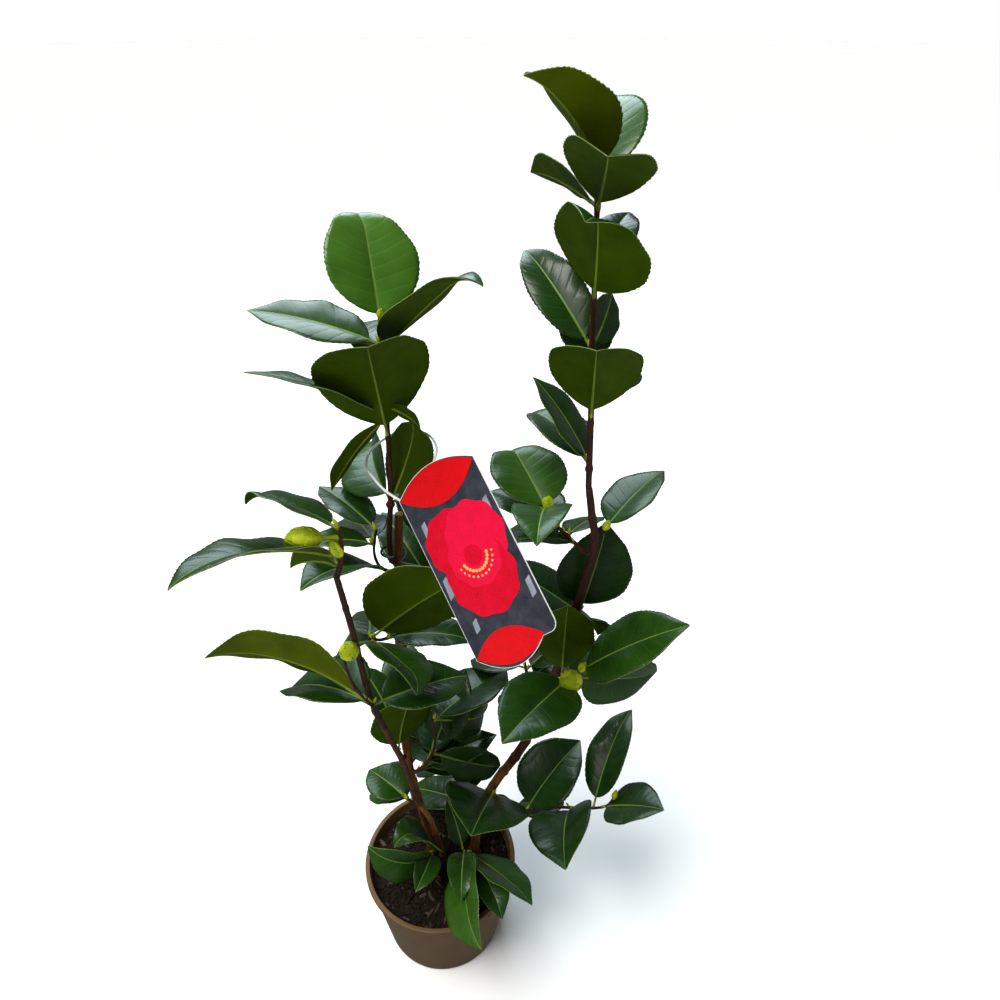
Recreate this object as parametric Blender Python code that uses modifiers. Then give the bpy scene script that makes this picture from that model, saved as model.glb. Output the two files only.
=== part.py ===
"""A young camellia in its nursery pot, about 0.9 m tall.

Three stems rise from the compost: the left one leans forward, the centre one is upright and ends
in a cut stub beside the shoot that replaced it, the right one leans out and runs up to the top.
Each shoot carries its leaves by a table of habit rows (share of the shoot, compass bearing, rise,
length, roll, habit), and a seeded rule fills the back of the crown with a few more. Tables are in
millimetres and degrees, everything built is in metres, the origin is the middle of the pot's
underside, +Z is up and the viewer stands on the -Y side.
"""

import math
import random

import bmesh
import bpy
import numpy as np

MM = 0.001
WELD = 1e-6  # m, points this close become one
CLEAR = 0.3  # mm between neighbouring pieces
SHARP_FROM = math.radians(40)

# ---- pot, compost and label, mm ----
POT_HEIGHT = 120
POT_RIM_RADIUS = 82.5
POT_FOOT_RADIUS = 65
POT_WALL = 2.0
LIP_HEIGHT = 6
LIP_STANDS = 3.0  # how far the lip stands out from the wall
FOOT_THICKNESS = 3.0
LIP_ROUND = 1.0  # how far the lip's edges are cut back
FOOT_ROUND = 2.0  # and the foot's edge
POT_SIDES = 48
DRAIN_HOLES = 8
DRAIN_HOLE_RADIUS = 5
DRAIN_HOLE_RING = 48
DRAIN_HOLE_SIDES = 12
SOIL_LEVEL = 108
SOIL_DIP = 3.0
SOIL_SHOULDER = 3  # how far below its level the compost meets the wall
SOIL_WAVES = 6
SOIL_CALM = 14  # mm round a stem that stay level
SOIL_SLOPE = 20  # mm from there to the full dip
SOIL_SEED = 11
SOIL_SIDES = 40
SOIL_RINGS = (0, 10, 20, 30, 40, 50, 60, 68)
LABEL_SIZE = (68, 122)
LABEL_THICKNESS = 1.0
LABEL_PLACE = (50, -86, 610)
LABEL_TURN = (62, -40, -13)
LABEL_TOP_BULGE = 11
LABEL_FOOT_BULGE = 12
LABEL_CORNER = 7
LABEL_FOOT_END = 21  # where the foot's bow meets the right edge's short straight
LABEL_SHOULDER = 2  # how far the corners of the head and foot lie inside its height
LABEL_BOW_STEPS = 10
LABEL_CORNER_STEPS = 5
STRAP_RADIUS = 0.9
STRAP = [(4.6, -47.8, 627.3), (-2, -42, 627), (-13, -33, 629), (-22, -22, 632), (-29, -9, 635),
         (-26, 5, 640), (-9, 14, 648), (13, -2, 657), (23, -24, 659), (22, -39, 655),
         (19.6, -46.2, 650)]
TIE_RADIUS = 0.9
TIE_CENTRE = (-16.5, -5.5, 551)
TIE_TURN = 9.5
TIE_ANGLES = (-0.9, 4.9)
TIE_TAIL = [(20, -6, -2), (12, -4, -1), (5, -2.5, -0.5)]

# ---- looks: base colour and roughness ----
BARK = (0.25, 0.10, 0.035), 0.7
LEAF = (0.02, 0.09, 0.015), 0.35
POT_LOOK = (0.14, 0.095, 0.06), 0.45
SOIL_LOOK = (0.02, 0.012, 0.008), 0.95
LABEL_LOOK = (0.05, 0.06, 0.08), 0.3
STRAP_LOOK = (0.8, 0.8, 0.78), 0.4
TIE_LOOK = (0.01, 0.012, 0.01), 0.5

# ---- leaves ----
LEAF_ROOM = 6  # mm that a seeded leaf keeps from other leaves
LIMB_ROOM = 11  # mm that its blade keeps from the middle of a stem
PETIOLE_ROOM = 8  # mm that its petiole keeps from it
PETIOLE = 0.10  # share of a leaf's length
PETIOLE_HALF_WIDTH = 0.9
FOOT_INSET = 0.01  # share of a shoot, at either end, with no leaf's foot on it
BLADE_FROM, STALK_FROM = 0.2, 0.08  # shares of a leaf from which it is kept clear of others, of stems
LEAF_THICKNESS = 1.3
BLADE_SECTIONS = (.07, .22, .42, .64, .84, 1)
BUD_PROFILE = [(0, .22), (.12, .62), (.3, .95), (.5, 1), (.7, .78), (.87, .42), (1, .06)]
SHOOT_TAPER = 0.6
COLLAR = 3  # mm that a side shoot stands straight out of its stem before it bends
# habit: width as a share of length, fold of each half, arch of the whole, hook of the tip
HABITS = {
    "flat": (0.52, 6, 20, 0),
    "open": (0.60, 8, 15, 10),
    "broad": (0.74, 8, 18, 10),
    "round": (0.76, 8, 8, 70),
    "arched": (0.52, 14, 40, 15),
    "drooping": (0.50, 16, 80, 10),
    "cupped": (0.72, 20, 40, 0),
    "folded": (0.60, 30, 35, 10),
    "hooked": (0.50, 20, 15, 130),
    "slim": (0.40, 12, 34, 20),
}

# what the rule draws for a leaf on a shoot's far side, and how often it tries for each
BEHIND_SPREAD = 75  # degrees either side of straight back
BEHIND_RISE = (-35, 45)
BEHIND_LENGTH = (56, 94)
BEHIND_HABITS = ("open", "arched", "flat")
TRIES = 8

# stem: (route, radius at the ground, radius at the top)
STEMS = {
    "stem_left": (
        [(2, 8, 108), (-3, -20, 215), (-13, -36, 280), (-17, -57, 360), (-26, -75, 433),
         (-30, -91, 492), (-29, -111, 569), (-29, -127, 628)], 2.9, 1.9),
    "stem_centre": (
        [(-11, 14, 108), (-16, 12, 175), (-25, 8, 262), (-24, 4, 372), (-20, 1, 456),
         (-14, -2, 544), (-10, -3, 588)], 4.6, 3.2),
    "stem_right": (
        [(37, 11, 108), (42, 10, 165), (58, 9, 233), (90, 7, 306), (116, 5, 408),
         (130, 3, 488), (140, 2, 550), (136, 2, 583), (132, 1, 608)], 5.6, 2.6),
}
SMOOTH_STEPS = 4
FINE_STEPS = 12  # where room round a stem is measured
FLARE_HEIGHT = 16
FLARE = 0.45

# shoot: the stem it grows on, route, radius at its foot, leaves (share, bearing, rise, length, roll, habit),
# buds (share, bearing, rise, length, width), behind: how many seeded leaves, and their seed
SHOOTS = {
    "crown_centre": dict(
        on="stem_centre",
        route=[(-20, -9, 545), (-18, -10, 570), (-14, -10, 606), (-12, -9, 648), (-10, -10, 708),
               (-9, -11, 746)],
        radius=2.4,
        leaves=[(.97, 105, 58, 83, -16, "round"), (.91, 172, 20, 90, 6, "flat"),
                (.89, -13, 47, 90, 16, "round"), (.57, -99, 73, 112, -24, "cupped"),
                (.65, -170, 34, 96, -19, "flat"), (.3, 28, 62, 75, 140, "arched"),
                (.69, -12, -17, 42, 42, "cupped"), (.65, -174, -44, 70, -32, "flat"),
                (.3, 116, 11, 96, 52, "folded")],
        buds=[(1.0, -100, 75, 16, 6), (.97, 20, 60, 17, 7)],
        behind=(6, 10)),
    "centre_side": dict(
        on="stem_centre",
        route=[(-20, -4, 532), (-28, -9, 542), (-30, -13, 560), (-25, -20, 586)],
        radius=1.5,
        leaves=[(.99, 136, 16, 68, -12, "flat"), (.7, -160, 30, 52, 0, "arched"),
                (.17, -130, 41, 87, -9, "arched")],
        buds=[],
        behind=(1, 2)),
    "left_spray": dict(
        on="stem_left",
        route=[(-29, -128, 632), (-23, -132, 652), (-21, -136, 674)],
        radius=1.9,
        leaves=[(.99, 158, 16, 60, -33, "round"), (.49, -139, 37, 104, -20, "slim"),
                (.3, 144, -9, 40, -48, "folded")],
        buds=[(.85, 180, 5, 24, 13), (.9, 150, 60, 16, 8)],
        behind=(2, 3)),
    "left_low": dict(
        on="stem_left",
        route=[(-26, -98, 482), (-26, -103, 491), (-37, -102, 512), (-39, -109, 548)],
        radius=1.5,
        leaves=[(.29, 152, 17, 125, -75, "arched"), (.11, 148, -2, 92, -9, "cupped")],
        buds=[(1, 100, 70, 13, 10)],
        behind=(1, 31)),
    "left_foot": dict(
        on="stem_left",
        route=[(-17, -43, 284), (-20, -45, 292)],
        radius=1.3,
        leaves=[(1, 140, 5, 54, -1, "broad")],
        buds=[],
        behind=(1, 29)),
    "centre_front": dict(
        on="stem_centre",
        route=[(-26, -5, 461), (-30, -30, 483), (-34, -52, 507)],
        radius=1.7,
        leaves=[(.92, 3, 44, 110, 78, "broad"), (.94, -46, 8, 72, 38, "round"),
                (.3, -5, 20, 76, 0, "arched")],
        buds=[],
        behind=(2, 48)),
    "centre_low": dict(
        on="stem_centre",
        route=[(-18, 2, 266), (-8, -4, 285), (4, -8, 320), (4, -8, 360)],
        radius=2.0,
        leaves=[(.97, 47, 5, 97, 19, "broad"), (1, 33, -36, 102, -74, "slim"),
                (.2, 21, 19, 80, 0, "flat"), (.51, 1, -26, 86, -54, "slim"),
                (.31, 37, -14, 66, -4, "arched"), (.6, 60, 50, 80, 0, "open"),
                (.19, 71, -19, 90, 17, "round")],
        buds=[],
        behind=(4, 54)),
    "centre_left": dict(
        on="stem_centre",
        route=[(-30, -5, 292), (-35, -3, 320), (-36, 0, 356)],
        radius=1.7,
        leaves=[(.26, -32, 80, 118, 30, "flat"), (1, 129, 38, 54, -9, "open"),
                (.73, 101, 0, 62, 4, "open")],
        buds=[],
        behind=(2, 30)),
    "crown_right": dict(
        on="stem_right",
        route=[(132, 1, 609), (129, 0, 672), (126, -1, 726), (125, -2, 756), (123, -3, 808),
               (125, -4, 828)],
        radius=2.5,
        leaves=[(1, -148, 58, 82, -15, "folded"), (.98, 78, 44, 80, -12, "folded"),
                (.91, -88, 49, 77, 18, "cupped"), (.92, 120, 15, 65, -42, "broad"),
                (.66, -96, 59, 86, 30, "round"), (.76, 60, 30, 55, 0, "open"),
                (.5, 135, 46, 93, 32, "slim"), (.51, 60, 34, 48, -54, "flat"),
                (.26, -97, 72, 91, 1, "cupped"), (.09, 147, 58, 75, -7, "flat")],
        buds=[(1.0, 60, 80, 15, 6)],
        behind=(4, 44)),
    "right_inner": dict(
        on="stem_right",
        route=[(134, -1, 547), (120, -2, 564), (106, 0, 579), (101, 1, 592)],
        radius=1.8,
        leaves=[(.9, 113, 20, 82, -1, "round"), (.97, -101, 36, 84, -7, "arched"),
                (.46, 60, -8, 59, 17, "flat"), (.3, -170, 25, 50, 0, "slim")],
        buds=[(1, -60, 75, 15, 9)],
        behind=(3, 6)),
    "right_mid": dict(
        on="stem_right",
        route=[(144, 6, 558), (149, 10, 566)],
        radius=1.6,
        leaves=[(.76, 42, 33, 72, 21, "broad")],
        buds=[(.8, -60, 70, 13, 6)],
        behind=(1, 1)),
    "right_back": dict(
        on="stem_right",
        route=[(132, 9, 472), (136, 16, 478)],
        radius=1.6,
        leaves=[(.63, 4, 77, 87, -90, "broad")],
        buds=[],
        behind=(3, 8)),
    "right_low": dict(
        on="stem_right",
        route=[(121, -2, 412), (128, -12, 420), (134, -18, 434)],
        radius=2.0,
        leaves=[(.1, -100, 90, 98, -7, "flat"), (.85, -20, 52, 117, -15, "flat"),
                (.62, 11, -18, 91, -96, "broad"), (.52, -125, 18, 106, 4, "open")],
        buds=[(.6, -90, 30, 16, 14), (1, -30, 70, 17, 8)],
        behind=(2, 3)),
    "right_outer": dict(
        on="stem_right",
        route=[(49, 10, 160), (103, 8, 196), (169, 5, 202), (185, 5, 217)],
        radius=1.9,
        leaves=[(.36, 38, 50, 96, -7, "cupped"), (.68, -109, 38, 101, -33, "cupped"),
                (.83, 67, 49, 114, 21, "slim"), (.89, -31, 44, 78, 1, "broad")],
        buds=[(1, 60, 60, 12, 6)],
        behind=(3, 5)),
    "right_foot": dict(
        on="stem_right",
        route=[(60, 1, 238), (60, -5, 244)],
        radius=1.5,
        leaves=[(.89, -100, 45, 112, 12, "broad"), (.58, -45, -47, 40, -13, "arched")],
        buds=[],
        behind=(1, 1)),
    "base_right": dict(
        on="stem_right",
        route=[(36, 2, 126), (29, -6, 138), (26, -10, 150)],
        radius=1.7,
        leaves=[(1, 120, 70, 60, 0, "slim"), (.78, -92, 42, 65, -2, "drooping"),
                (.32, -59, 13, 81, 12, "arched"), (.55, -38, 13, 95, 37, "open"),
                (.35, -97, 17, 113, -55, "arched")],
        buds=[],
        behind=(0, 0)),
    "base_left": dict(
        on="stem_centre",
        route=[(-15, 6, 124), (-8, -4, 134), (-5, -8, 144)],
        radius=1.7,
        leaves=[(1, -130, 71, 97, 10, "hooked"), (.6, -118, 32, 92, 109, "drooping"),
                (.73, -101, 24, 52, 20, "folded")],
        buds=[],
        behind=(0, 0)),
    "back_centre": dict(
        on="stem_centre",
        route=[(-22, 9, 420), (-12, 24, 446), (6, 38, 478), (16, 46, 520)],
        radius=1.8,
        leaves=[],
        buds=[(1, 80, 60, 15, 7)],
        behind=(7, 5)),
    "back_right": dict(
        on="stem_right",
        route=[(100, 13, 336), (96, 28, 352), (90, 42, 380), (88, 52, 414)],
        radius=1.8,
        leaves=[],
        buds=[(1, 90, 60, 15, 7)],
        behind=(7, 1)),
    "back_left": dict(
        on="stem_centre",
        route=[(-21, 17, 232), (-32, 31, 248), (-37, 44, 284), (-34, 54, 320)],
        radius=1.8,
        leaves=[],
        buds=[(1, 90, 60, 15, 7)],
        behind=(6, 16)),
    "back_low": dict(
        on="stem_right",
        route=[(42, 19, 148), (36, 34, 160), (22, 46, 184), (12, 52, 214)],
        radius=1.8,
        leaves=[],
        buds=[(1, 90, 60, 15, 7)],
        behind=(5, 2)),
}


# ---- growth: routes, leaf lines and the seeded rule, all in mm ----

def smooth(route, steps=SMOOTH_STEPS):
    """A Catmull-Rom line through the route's points."""
    points = np.array(route, float)
    ends = np.vstack([2 * points[0] - points[1], points, 2 * points[-1] - points[-2]])
    line = []
    for a, b, c, d in zip(ends[:-3], ends[1:-2], ends[2:-1], ends[3:]):
        for t in np.arange(steps) / steps:
            line.append(0.5 * (2 * b + (c - a) * t + (2 * a - 5 * b + 4 * c - d) * t ** 2
                               + (3 * b - a - 3 * c + d) * t ** 3))
    return np.array(line + [points[-1]])


def along(line, share):
    """The point at a share of the line's length."""
    run = np.r_[0, np.cumsum(np.linalg.norm(np.diff(line, axis=0), axis=1))]
    return np.array([np.interp(share * run[-1], run, line[:, k]) for k in range(3)])


def stem_shape(name):
    """A stem's middle line from its cut on the compost, and its radii with the flare."""
    route, foot_radius, tip_radius = STEMS[name]
    ground = SOIL_LEVEL + CLEAR
    line = smooth([(x, y, max(z, ground)) for x, y, z in route])
    line = np.insert(line, 1, line[0] + [0, 0, FLARE_HEIGHT / 3], axis=0)
    radii = np.linspace(foot_radius, tip_radius, len(line))
    radii *= 1 + FLARE * np.clip(1 - (line[:, 2] - ground) / FLARE_HEIGHT, 0, 1) ** 2
    return line, radii


def shoot_line(shoot):
    """A shoot's line, its foot seated just clear of its stem's side, or of the stem's tip."""
    line, radii = stem_shape(shoot["on"])
    start = np.array(shoot["route"][0], float)
    if start[2] > line[-1][2]:
        way = (line[-1] - line[-2]) / np.linalg.norm(line[-1] - line[-2])
        foot = line[-1] + way * CLEAR
    else:
        at_height = lambda z: np.array([np.interp(z, line[:, 2], line[:, k]) for k in range(3)])
        middle = at_height(start[2])
        upward = at_height(start[2] + 1) - middle
        way = start - middle
        way -= upward * way.dot(upward) / upward.dot(upward)
        way /= np.linalg.norm(way)
        foot = middle + way * (np.interp(start[2], line[:, 2], radii) + CLEAR)
    return np.vstack([[foot], smooth([foot + way * COLLAR] + shoot["route"][1:])])


def leaf_foot(line, row):
    """Where a leaf or bud of this row grows on its shoot."""
    return along(line, FOOT_INSET + row[0] * (1 - 2 * FOOT_INSET))


def leaf_axes(bearing, rise, roll):
    """Forward, right and upward directions of a leaf at its foot."""
    b, e, q = map(math.radians, (bearing, rise, roll))
    forward = np.array([math.cos(e) * math.cos(b), math.cos(e) * math.sin(b), math.sin(e)])
    right = np.array([math.sin(b), -math.cos(b), 0.0])
    up = np.cross(right, forward)
    return (forward, right * math.cos(q) + up * math.sin(q),
            up * math.cos(q) - right * math.sin(q))


def blade_width(u):
    """Half the blade's outline at a share u of its length, 1 at its widest."""
    rise, fall = 0.62, 0.86
    peak = (rise / (rise + fall)) ** rise * (fall / (rise + fall)) ** fall
    return np.clip(u, 0, 1) ** rise * (1 - np.clip(u, 0, 1)) ** fall / peak


def leaf_line(foot, row, shares):
    """Midrib points, right and upward directions and half-widths at shares of a leaf."""
    _, bearing, rise, length, roll, habit = row
    width, fold, arch, hook = HABITS[habit]
    forward, right, up = leaf_axes(bearing, rise, roll)

    def bend(t):
        u = np.maximum(0, (t - PETIOLE) / (1 - PETIOLE))
        return np.radians(arch * u ** 1.1 + hook * np.maximum(0, (u - 0.7) / 0.3))

    fine = np.linspace(0, 1, 41)
    turn = bend((fine[1:] + fine[:-1]) / 2)[:, None]
    steps = (forward * np.cos(turn) - up * np.sin(turn)) * length / 40
    rib = np.vstack([[foot], foot + np.cumsum(steps, axis=0)])
    shares = np.asarray(shares, float)
    middle = np.stack([np.interp(shares, fine, rib[:, k]) for k in range(3)], 1)
    turn = bend(shares)[:, None]
    ups = up * np.cos(turn) + forward * np.sin(turn)
    half = np.maximum(length * width / 2 * blade_width((shares - PETIOLE) / (1 - PETIOLE)),
                      PETIOLE_HALF_WIDTH * (shares < 0.5))
    return middle, right, ups, half, math.radians(fold)


def leaf_samples(foot, row, start=BLADE_FROM):
    """Points spread over a leaf from a share of its length on, to keep others clear of it."""
    middle, right, ups, half, fold = leaf_line(foot, row, np.linspace(start, 1, 9))
    across = [middle + half[:, None] * w * (right * math.cos(fold) + ups * math.sin(fold) * abs(w))
              for w in (-1, -0.5, 0, 0.5, 1)]
    return np.vstack(across)


def tie_line():
    """A twist of wire round the centre stem, with a tail to the right."""
    turn = [np.array(TIE_CENTRE) + [TIE_TURN * math.cos(a), TIE_TURN * math.sin(a), a]
            for a in np.linspace(*TIE_ANGLES, 20)]
    return np.array([turn[0] + np.array(step) for step in TIE_TAIL] + turn)


def nearest(points, others):
    """The smallest distance between two sets of points."""
    return np.linalg.norm(points[:, None] - others[None], axis=2).min()


def leaf_behind(draw):
    """A row drawn for the far side of a shoot."""
    return (draw.uniform(0.05, 1), 90 + draw.uniform(-BEHIND_SPREAD, BEHIND_SPREAD),
            draw.uniform(*BEHIND_RISE), draw.uniform(*BEHIND_LENGTH), 0, draw.choice(BEHIND_HABITS))


def grow():
    """Every shoot's line and leaf rows: its table, then its seeded leaves behind, where clear."""
    limbs = np.vstack([smooth(route, FINE_STEPS) for route, _, _ in STEMS.values()])
    lines = {name: shoot_line(shoot) for name, shoot in SHOOTS.items()}
    taken = [smooth(STRAP), tie_line()]
    for name, shoot in SHOOTS.items():
        taken.append(lines[name])
        taken += [leaf_samples(leaf_foot(lines[name], row), row, PETIOLE) for row in shoot["leaves"]]
    rows = {}
    for name, shoot in SHOOTS.items():
        rows[name] = list(shoot["leaves"])
        wanted, seed = shoot["behind"]
        draw = random.Random(seed)
        for _ in range(wanted * TRIES):
            row = leaf_behind(draw)
            foot = leaf_foot(lines[name], row)
            samples, whole = leaf_samples(foot, row), leaf_samples(foot, row, STALK_FROM)
            others = [line for other, line in lines.items() if other != name]
            clear = (nearest(samples, np.vstack(taken)) > LEAF_ROOM
                     and nearest(samples, limbs) > LIMB_ROOM
                     and nearest(whole, limbs) > PETIOLE_ROOM
                     and nearest(whole, np.vstack(others)) > LEAF_ROOM
                     and samples[:, 2].min() > SOIL_LEVEL + LEAF_ROOM)
            if clear and len(rows[name]) < len(shoot["leaves"]) + wanted:
                rows[name].append(row)
                taken.append(samples)
    return lines, rows


# ---- modelling helpers ----

def plain_material(name, colour, roughness):
    material = bpy.data.materials.new(name)
    material.use_nodes = True
    shader = material.node_tree.nodes["Principled BSDF"]
    shader.inputs["Base Color"].default_value = (*colour, 1)
    shader.inputs["Roughness"].default_value = roughness
    return material


def place(name, data, look, where):
    """A new object in a collection, with its own material."""
    data.materials.append(plain_material(name, *look))
    obj = bpy.data.objects.new(name, data)
    where.objects.link(obj)
    return obj


def tube(name, line, radii, look, where, resolution=2):
    """A tube with filled ends along a line, as a bevelled curve whose points carry the radii."""
    curve = bpy.data.curves.new(name, "CURVE")
    curve.dimensions = "3D"
    curve.bevel_depth = MM
    curve.bevel_resolution = resolution
    curve.use_fill_caps = True
    spline = curve.splines.new("POLY")
    spline.points.add(len(line) - 1)
    for point, spot, radius in zip(spline.points, line, radii):
        point.co = (*(np.asarray(spot, float) * MM), 1)
        point.radius = radius
    return place(name, curve, look, where)


def evaluated_mesh(obj):
    """The object's final mesh, with a curve's loose end caps welded on."""
    bpy.context.view_layer.update()
    graph = bpy.context.evaluated_depsgraph_get()
    mesh = bpy.data.meshes.new_from_object(obj.evaluated_get(graph))
    welded = bmesh.new()
    welded.from_mesh(mesh)
    bmesh.ops.remove_doubles(welded, verts=welded.verts, dist=WELD)
    bmesh.ops.recalc_face_normals(welded, faces=welded.faces)
    welded.to_mesh(mesh)
    welded.free()
    return mesh


def as_mesh(obj, where):
    """Replaces a curve object by the mesh it makes."""
    name, mesh = obj.name, evaluated_mesh(obj)
    look = obj.data.materials[0]
    bpy.data.objects.remove(obj)
    made = bpy.data.objects.new(name, mesh)
    mesh.materials.clear()
    mesh.materials.append(look)
    where.objects.link(made)
    return made


def turned_body(name, profile, sides, look, where):
    """A body turned about the vertical axis. Its profile ends by running down the outer side."""
    mesh = bpy.data.meshes.new(name)
    mesh.from_pydata([(r * MM, 0, z * MM) for r, z in profile],
                     [(i, i + 1) for i in range(len(profile) - 1)], [])
    obj = place(name, mesh, look, where)
    screw = obj.modifiers.new("Turn", "SCREW")
    screw.steps = screw.render_steps = sides
    screw.use_merge_vertices = True
    screw.merge_threshold = WELD
    return obj


def leaf_blade(name, foot, row, where):
    """A closed blade lofted through four-sided sections, its petiole starting inside the shoot."""
    shares = [0, PETIOLE] + [PETIOLE + (1 - PETIOLE) * u for u in BLADE_SECTIONS]
    middle, right, ups, half, fold = leaf_line(foot, row, shares)
    loft = bmesh.new()
    rings = []
    for m, up, w in zip(middle[:-1], ups, half):
        out, lift = right * w * math.cos(fold), up * w * math.sin(fold)
        thick = up * LEAF_THICKNESS / 2
        corners = (m - out + lift, m + thick, m + out + lift, m - thick)
        rings.append([loft.verts.new(corner * MM) for corner in corners])
    tip = loft.verts.new(middle[-1] * MM)
    loft.faces.new(rings[0][::-1])
    for lower, upper in zip(rings[:-1], rings[1:]):
        for k in range(4):
            loft.faces.new((lower[k], lower[k - 3], upper[k - 3], upper[k]))
    for k in range(4):
        loft.faces.new((rings[-1][k], rings[-1][k - 3], tip))
    bmesh.ops.recalc_face_normals(loft, faces=loft.faces)
    mesh = bpy.data.meshes.new(name)
    loft.to_mesh(mesh)
    loft.free()
    return place(name, mesh, LEAF, where)


def bud(name, foot, row, where):
    """A pointed bud, widest at its middle, sunk into the shoot."""
    _, bearing, rise, length, width = row
    forward = leaf_axes(bearing, rise, 0)[0]
    line = [foot + forward * length * share for share, _ in BUD_PROFILE]
    radii = [width / 2 * fullness for _, fullness in BUD_PROFILE]
    return as_mesh(tube(name, line, radii, LEAF, where), where)


def holding_collection(name):
    holder = bpy.data.collections.new(name)
    bpy.context.scene.collection.children.link(holder)
    return holder


def boolean(target, operation, operands, solver):
    cut = target.modifiers.new(operation.title(), "BOOLEAN")
    cut.operation, cut.solver = operation, solver
    cut.operand_type, cut.collection = "COLLECTION", operands


# ---- sub-parts ----

def build_stem(name, where):
    """A tapering stem that flares to a flat cut on the compost."""
    line, radii = stem_shape(name)
    tube(name, line, radii, BARK, where)


def build_mass(name, shoot, line, rows, where):
    """A shoot with its leaves and buds, joined into one body."""
    radii = np.linspace(shoot["radius"], shoot["radius"] * SHOOT_TAPER, len(line))
    mass = as_mesh(tube(name, line, radii, LEAF, where, resolution=1), where)
    pieces = holding_collection(name + "_pieces")
    for i, row in enumerate(rows):
        leaf_blade(f"{name}_leaf_{i}", leaf_foot(line, row), row, pieces)
    for i, row in enumerate(shoot["buds"]):
        bud(f"{name}_bud_{i}", leaf_foot(line, row), row, pieces)
    boolean(mass, "UNION", pieces, "MANIFOLD")
    look, joined = mass.data.materials[0], evaluated_mesh(mass)
    joined.materials.clear()
    joined.materials.append(look)
    mass.modifiers.clear()
    mass.data = joined
    for piece in list(pieces.objects):
        bpy.data.objects.remove(piece)
    bpy.data.collections.remove(pieces)
    joined.shade_smooth()
    joined.set_sharp_from_angle(angle=SHARP_FROM)


def wall_radius(z):
    """The outside radius of the tapered wall at a height."""
    top = POT_RIM_RADIUS - LIP_STANDS
    return POT_FOOT_RADIUS + (top - POT_FOOT_RADIUS) * z / (POT_HEIGHT - LIP_HEIGHT)


def inside_radius(z):
    return wall_radius(z) - POT_WALL


def build_pot(where):
    """A tapered pot with a rolled lip and a ring of drain holes in its foot."""
    lip = POT_HEIGHT - LIP_HEIGHT
    bore = inside_radius(lip)
    profile = [(0, FOOT_THICKNESS), (inside_radius(FOOT_THICKNESS), FOOT_THICKNESS), (bore, lip),
               (bore, POT_HEIGHT - LIP_ROUND), (bore + LIP_ROUND, POT_HEIGHT),
               (POT_RIM_RADIUS - LIP_ROUND, POT_HEIGHT), (POT_RIM_RADIUS, POT_HEIGHT - LIP_ROUND),
               (POT_RIM_RADIUS, lip + LIP_ROUND), (wall_radius(lip), lip),
               (POT_FOOT_RADIUS, FOOT_ROUND), (POT_FOOT_RADIUS - FOOT_ROUND, 0), (0, 0)]
    pot = turned_body("pot", profile, POT_SIDES, POT_LOOK, where)
    cutters = holding_collection("drain hole cutters")
    for k in range(DRAIN_HOLES):
        angle = 2 * math.pi * k / DRAIN_HOLES
        bpy.ops.mesh.primitive_cylinder_add(
            vertices=DRAIN_HOLE_SIDES, radius=DRAIN_HOLE_RADIUS * MM, depth=3 * FOOT_THICKNESS * MM,
            location=(DRAIN_HOLE_RING * MM * math.cos(angle), DRAIN_HOLE_RING * MM * math.sin(angle),
                      FOOT_THICKNESS / 2 * MM))
        cutter = bpy.context.object
        cutter.name = f"drain_cutter_{k}"
        cutter.hide_render, cutter.display_type = True, "WIRE"
        bpy.context.collection.objects.unlink(cutter)
        cutters.objects.link(cutter)
    boolean(pot, "DIFFERENCE", cutters, "MANIFOLD")


def build_soil(where):
    """The compost that fills the pot, its top dipping a little away from the stems."""
    floor, shoulder = FOOT_THICKNESS + CLEAR, SOIL_LEVEL - SOIL_SHOULDER
    profile = [(r, SOIL_LEVEL) for r in SOIL_RINGS]
    profile += [(inside_radius(shoulder) - 2, SOIL_LEVEL - 1),
                (inside_radius(shoulder) - 2 * CLEAR, shoulder),
                (inside_radius(floor) - 2 * CLEAR, floor), (0, floor)]
    soil = as_mesh(turned_body("soil", profile, SOIL_SIDES, SOIL_LOOK, where), where)
    draw = random.Random(SOIL_SEED)
    waves = [(draw.uniform(0.05, 0.16), draw.uniform(0, 2 * math.pi), draw.uniform(0, 6))
             for _ in range(SOIL_WAVES)]
    feet = [np.array(route[0][:2]) for route, _, _ in STEMS.values()]
    for vertex in soil.data.vertices:
        x, y, z = np.array(vertex.co) / MM
        if z < SOIL_LEVEL - SOIL_SHOULDER / 2:
            continue
        away = min(np.linalg.norm(np.array([x, y]) - foot) for foot in feet)
        wave = sum(math.sin(k * (x * math.cos(a) + y * math.sin(a)) + p) for k, a, p in waves)
        dip = SOIL_DIP * (1 + wave / SOIL_WAVES) / 2
        vertex.co.z -= dip * min(1, max(0, (away - SOIL_CALM) / SOIL_SLOPE)) * MM


def label_outline():
    """The card with a lens-shaped head and foot, anticlockwise from its lower left."""
    w, h = LABEL_SIZE[0] / 2, LABEL_SIZE[1] / 2

    def bow(x0, y0, x1, y1, bulge):
        """A shallow arc between two points, bulging to the right of the way."""
        return [(x0 + (x1 - x0) * t, y0 + (y1 - y0) * t - math.copysign(bulge, x1 - x0) * 4 * t * (1 - t))
                for t in np.linspace(0, 1, LABEL_BOW_STEPS)]

    corner = [(w - LABEL_CORNER * (1 - math.sin(a)), -h + LABEL_CORNER * (1 - math.cos(a)))
              for a in np.linspace(0, math.pi / 2, LABEL_CORNER_STEPS)]
    return (bow(-w, -h + LABEL_SHOULDER, LABEL_FOOT_END, -h, LABEL_FOOT_BULGE) + corner
            + bow(w, h - LABEL_SHOULDER, -w, h - LABEL_SHOULDER, LABEL_TOP_BULGE))


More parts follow.
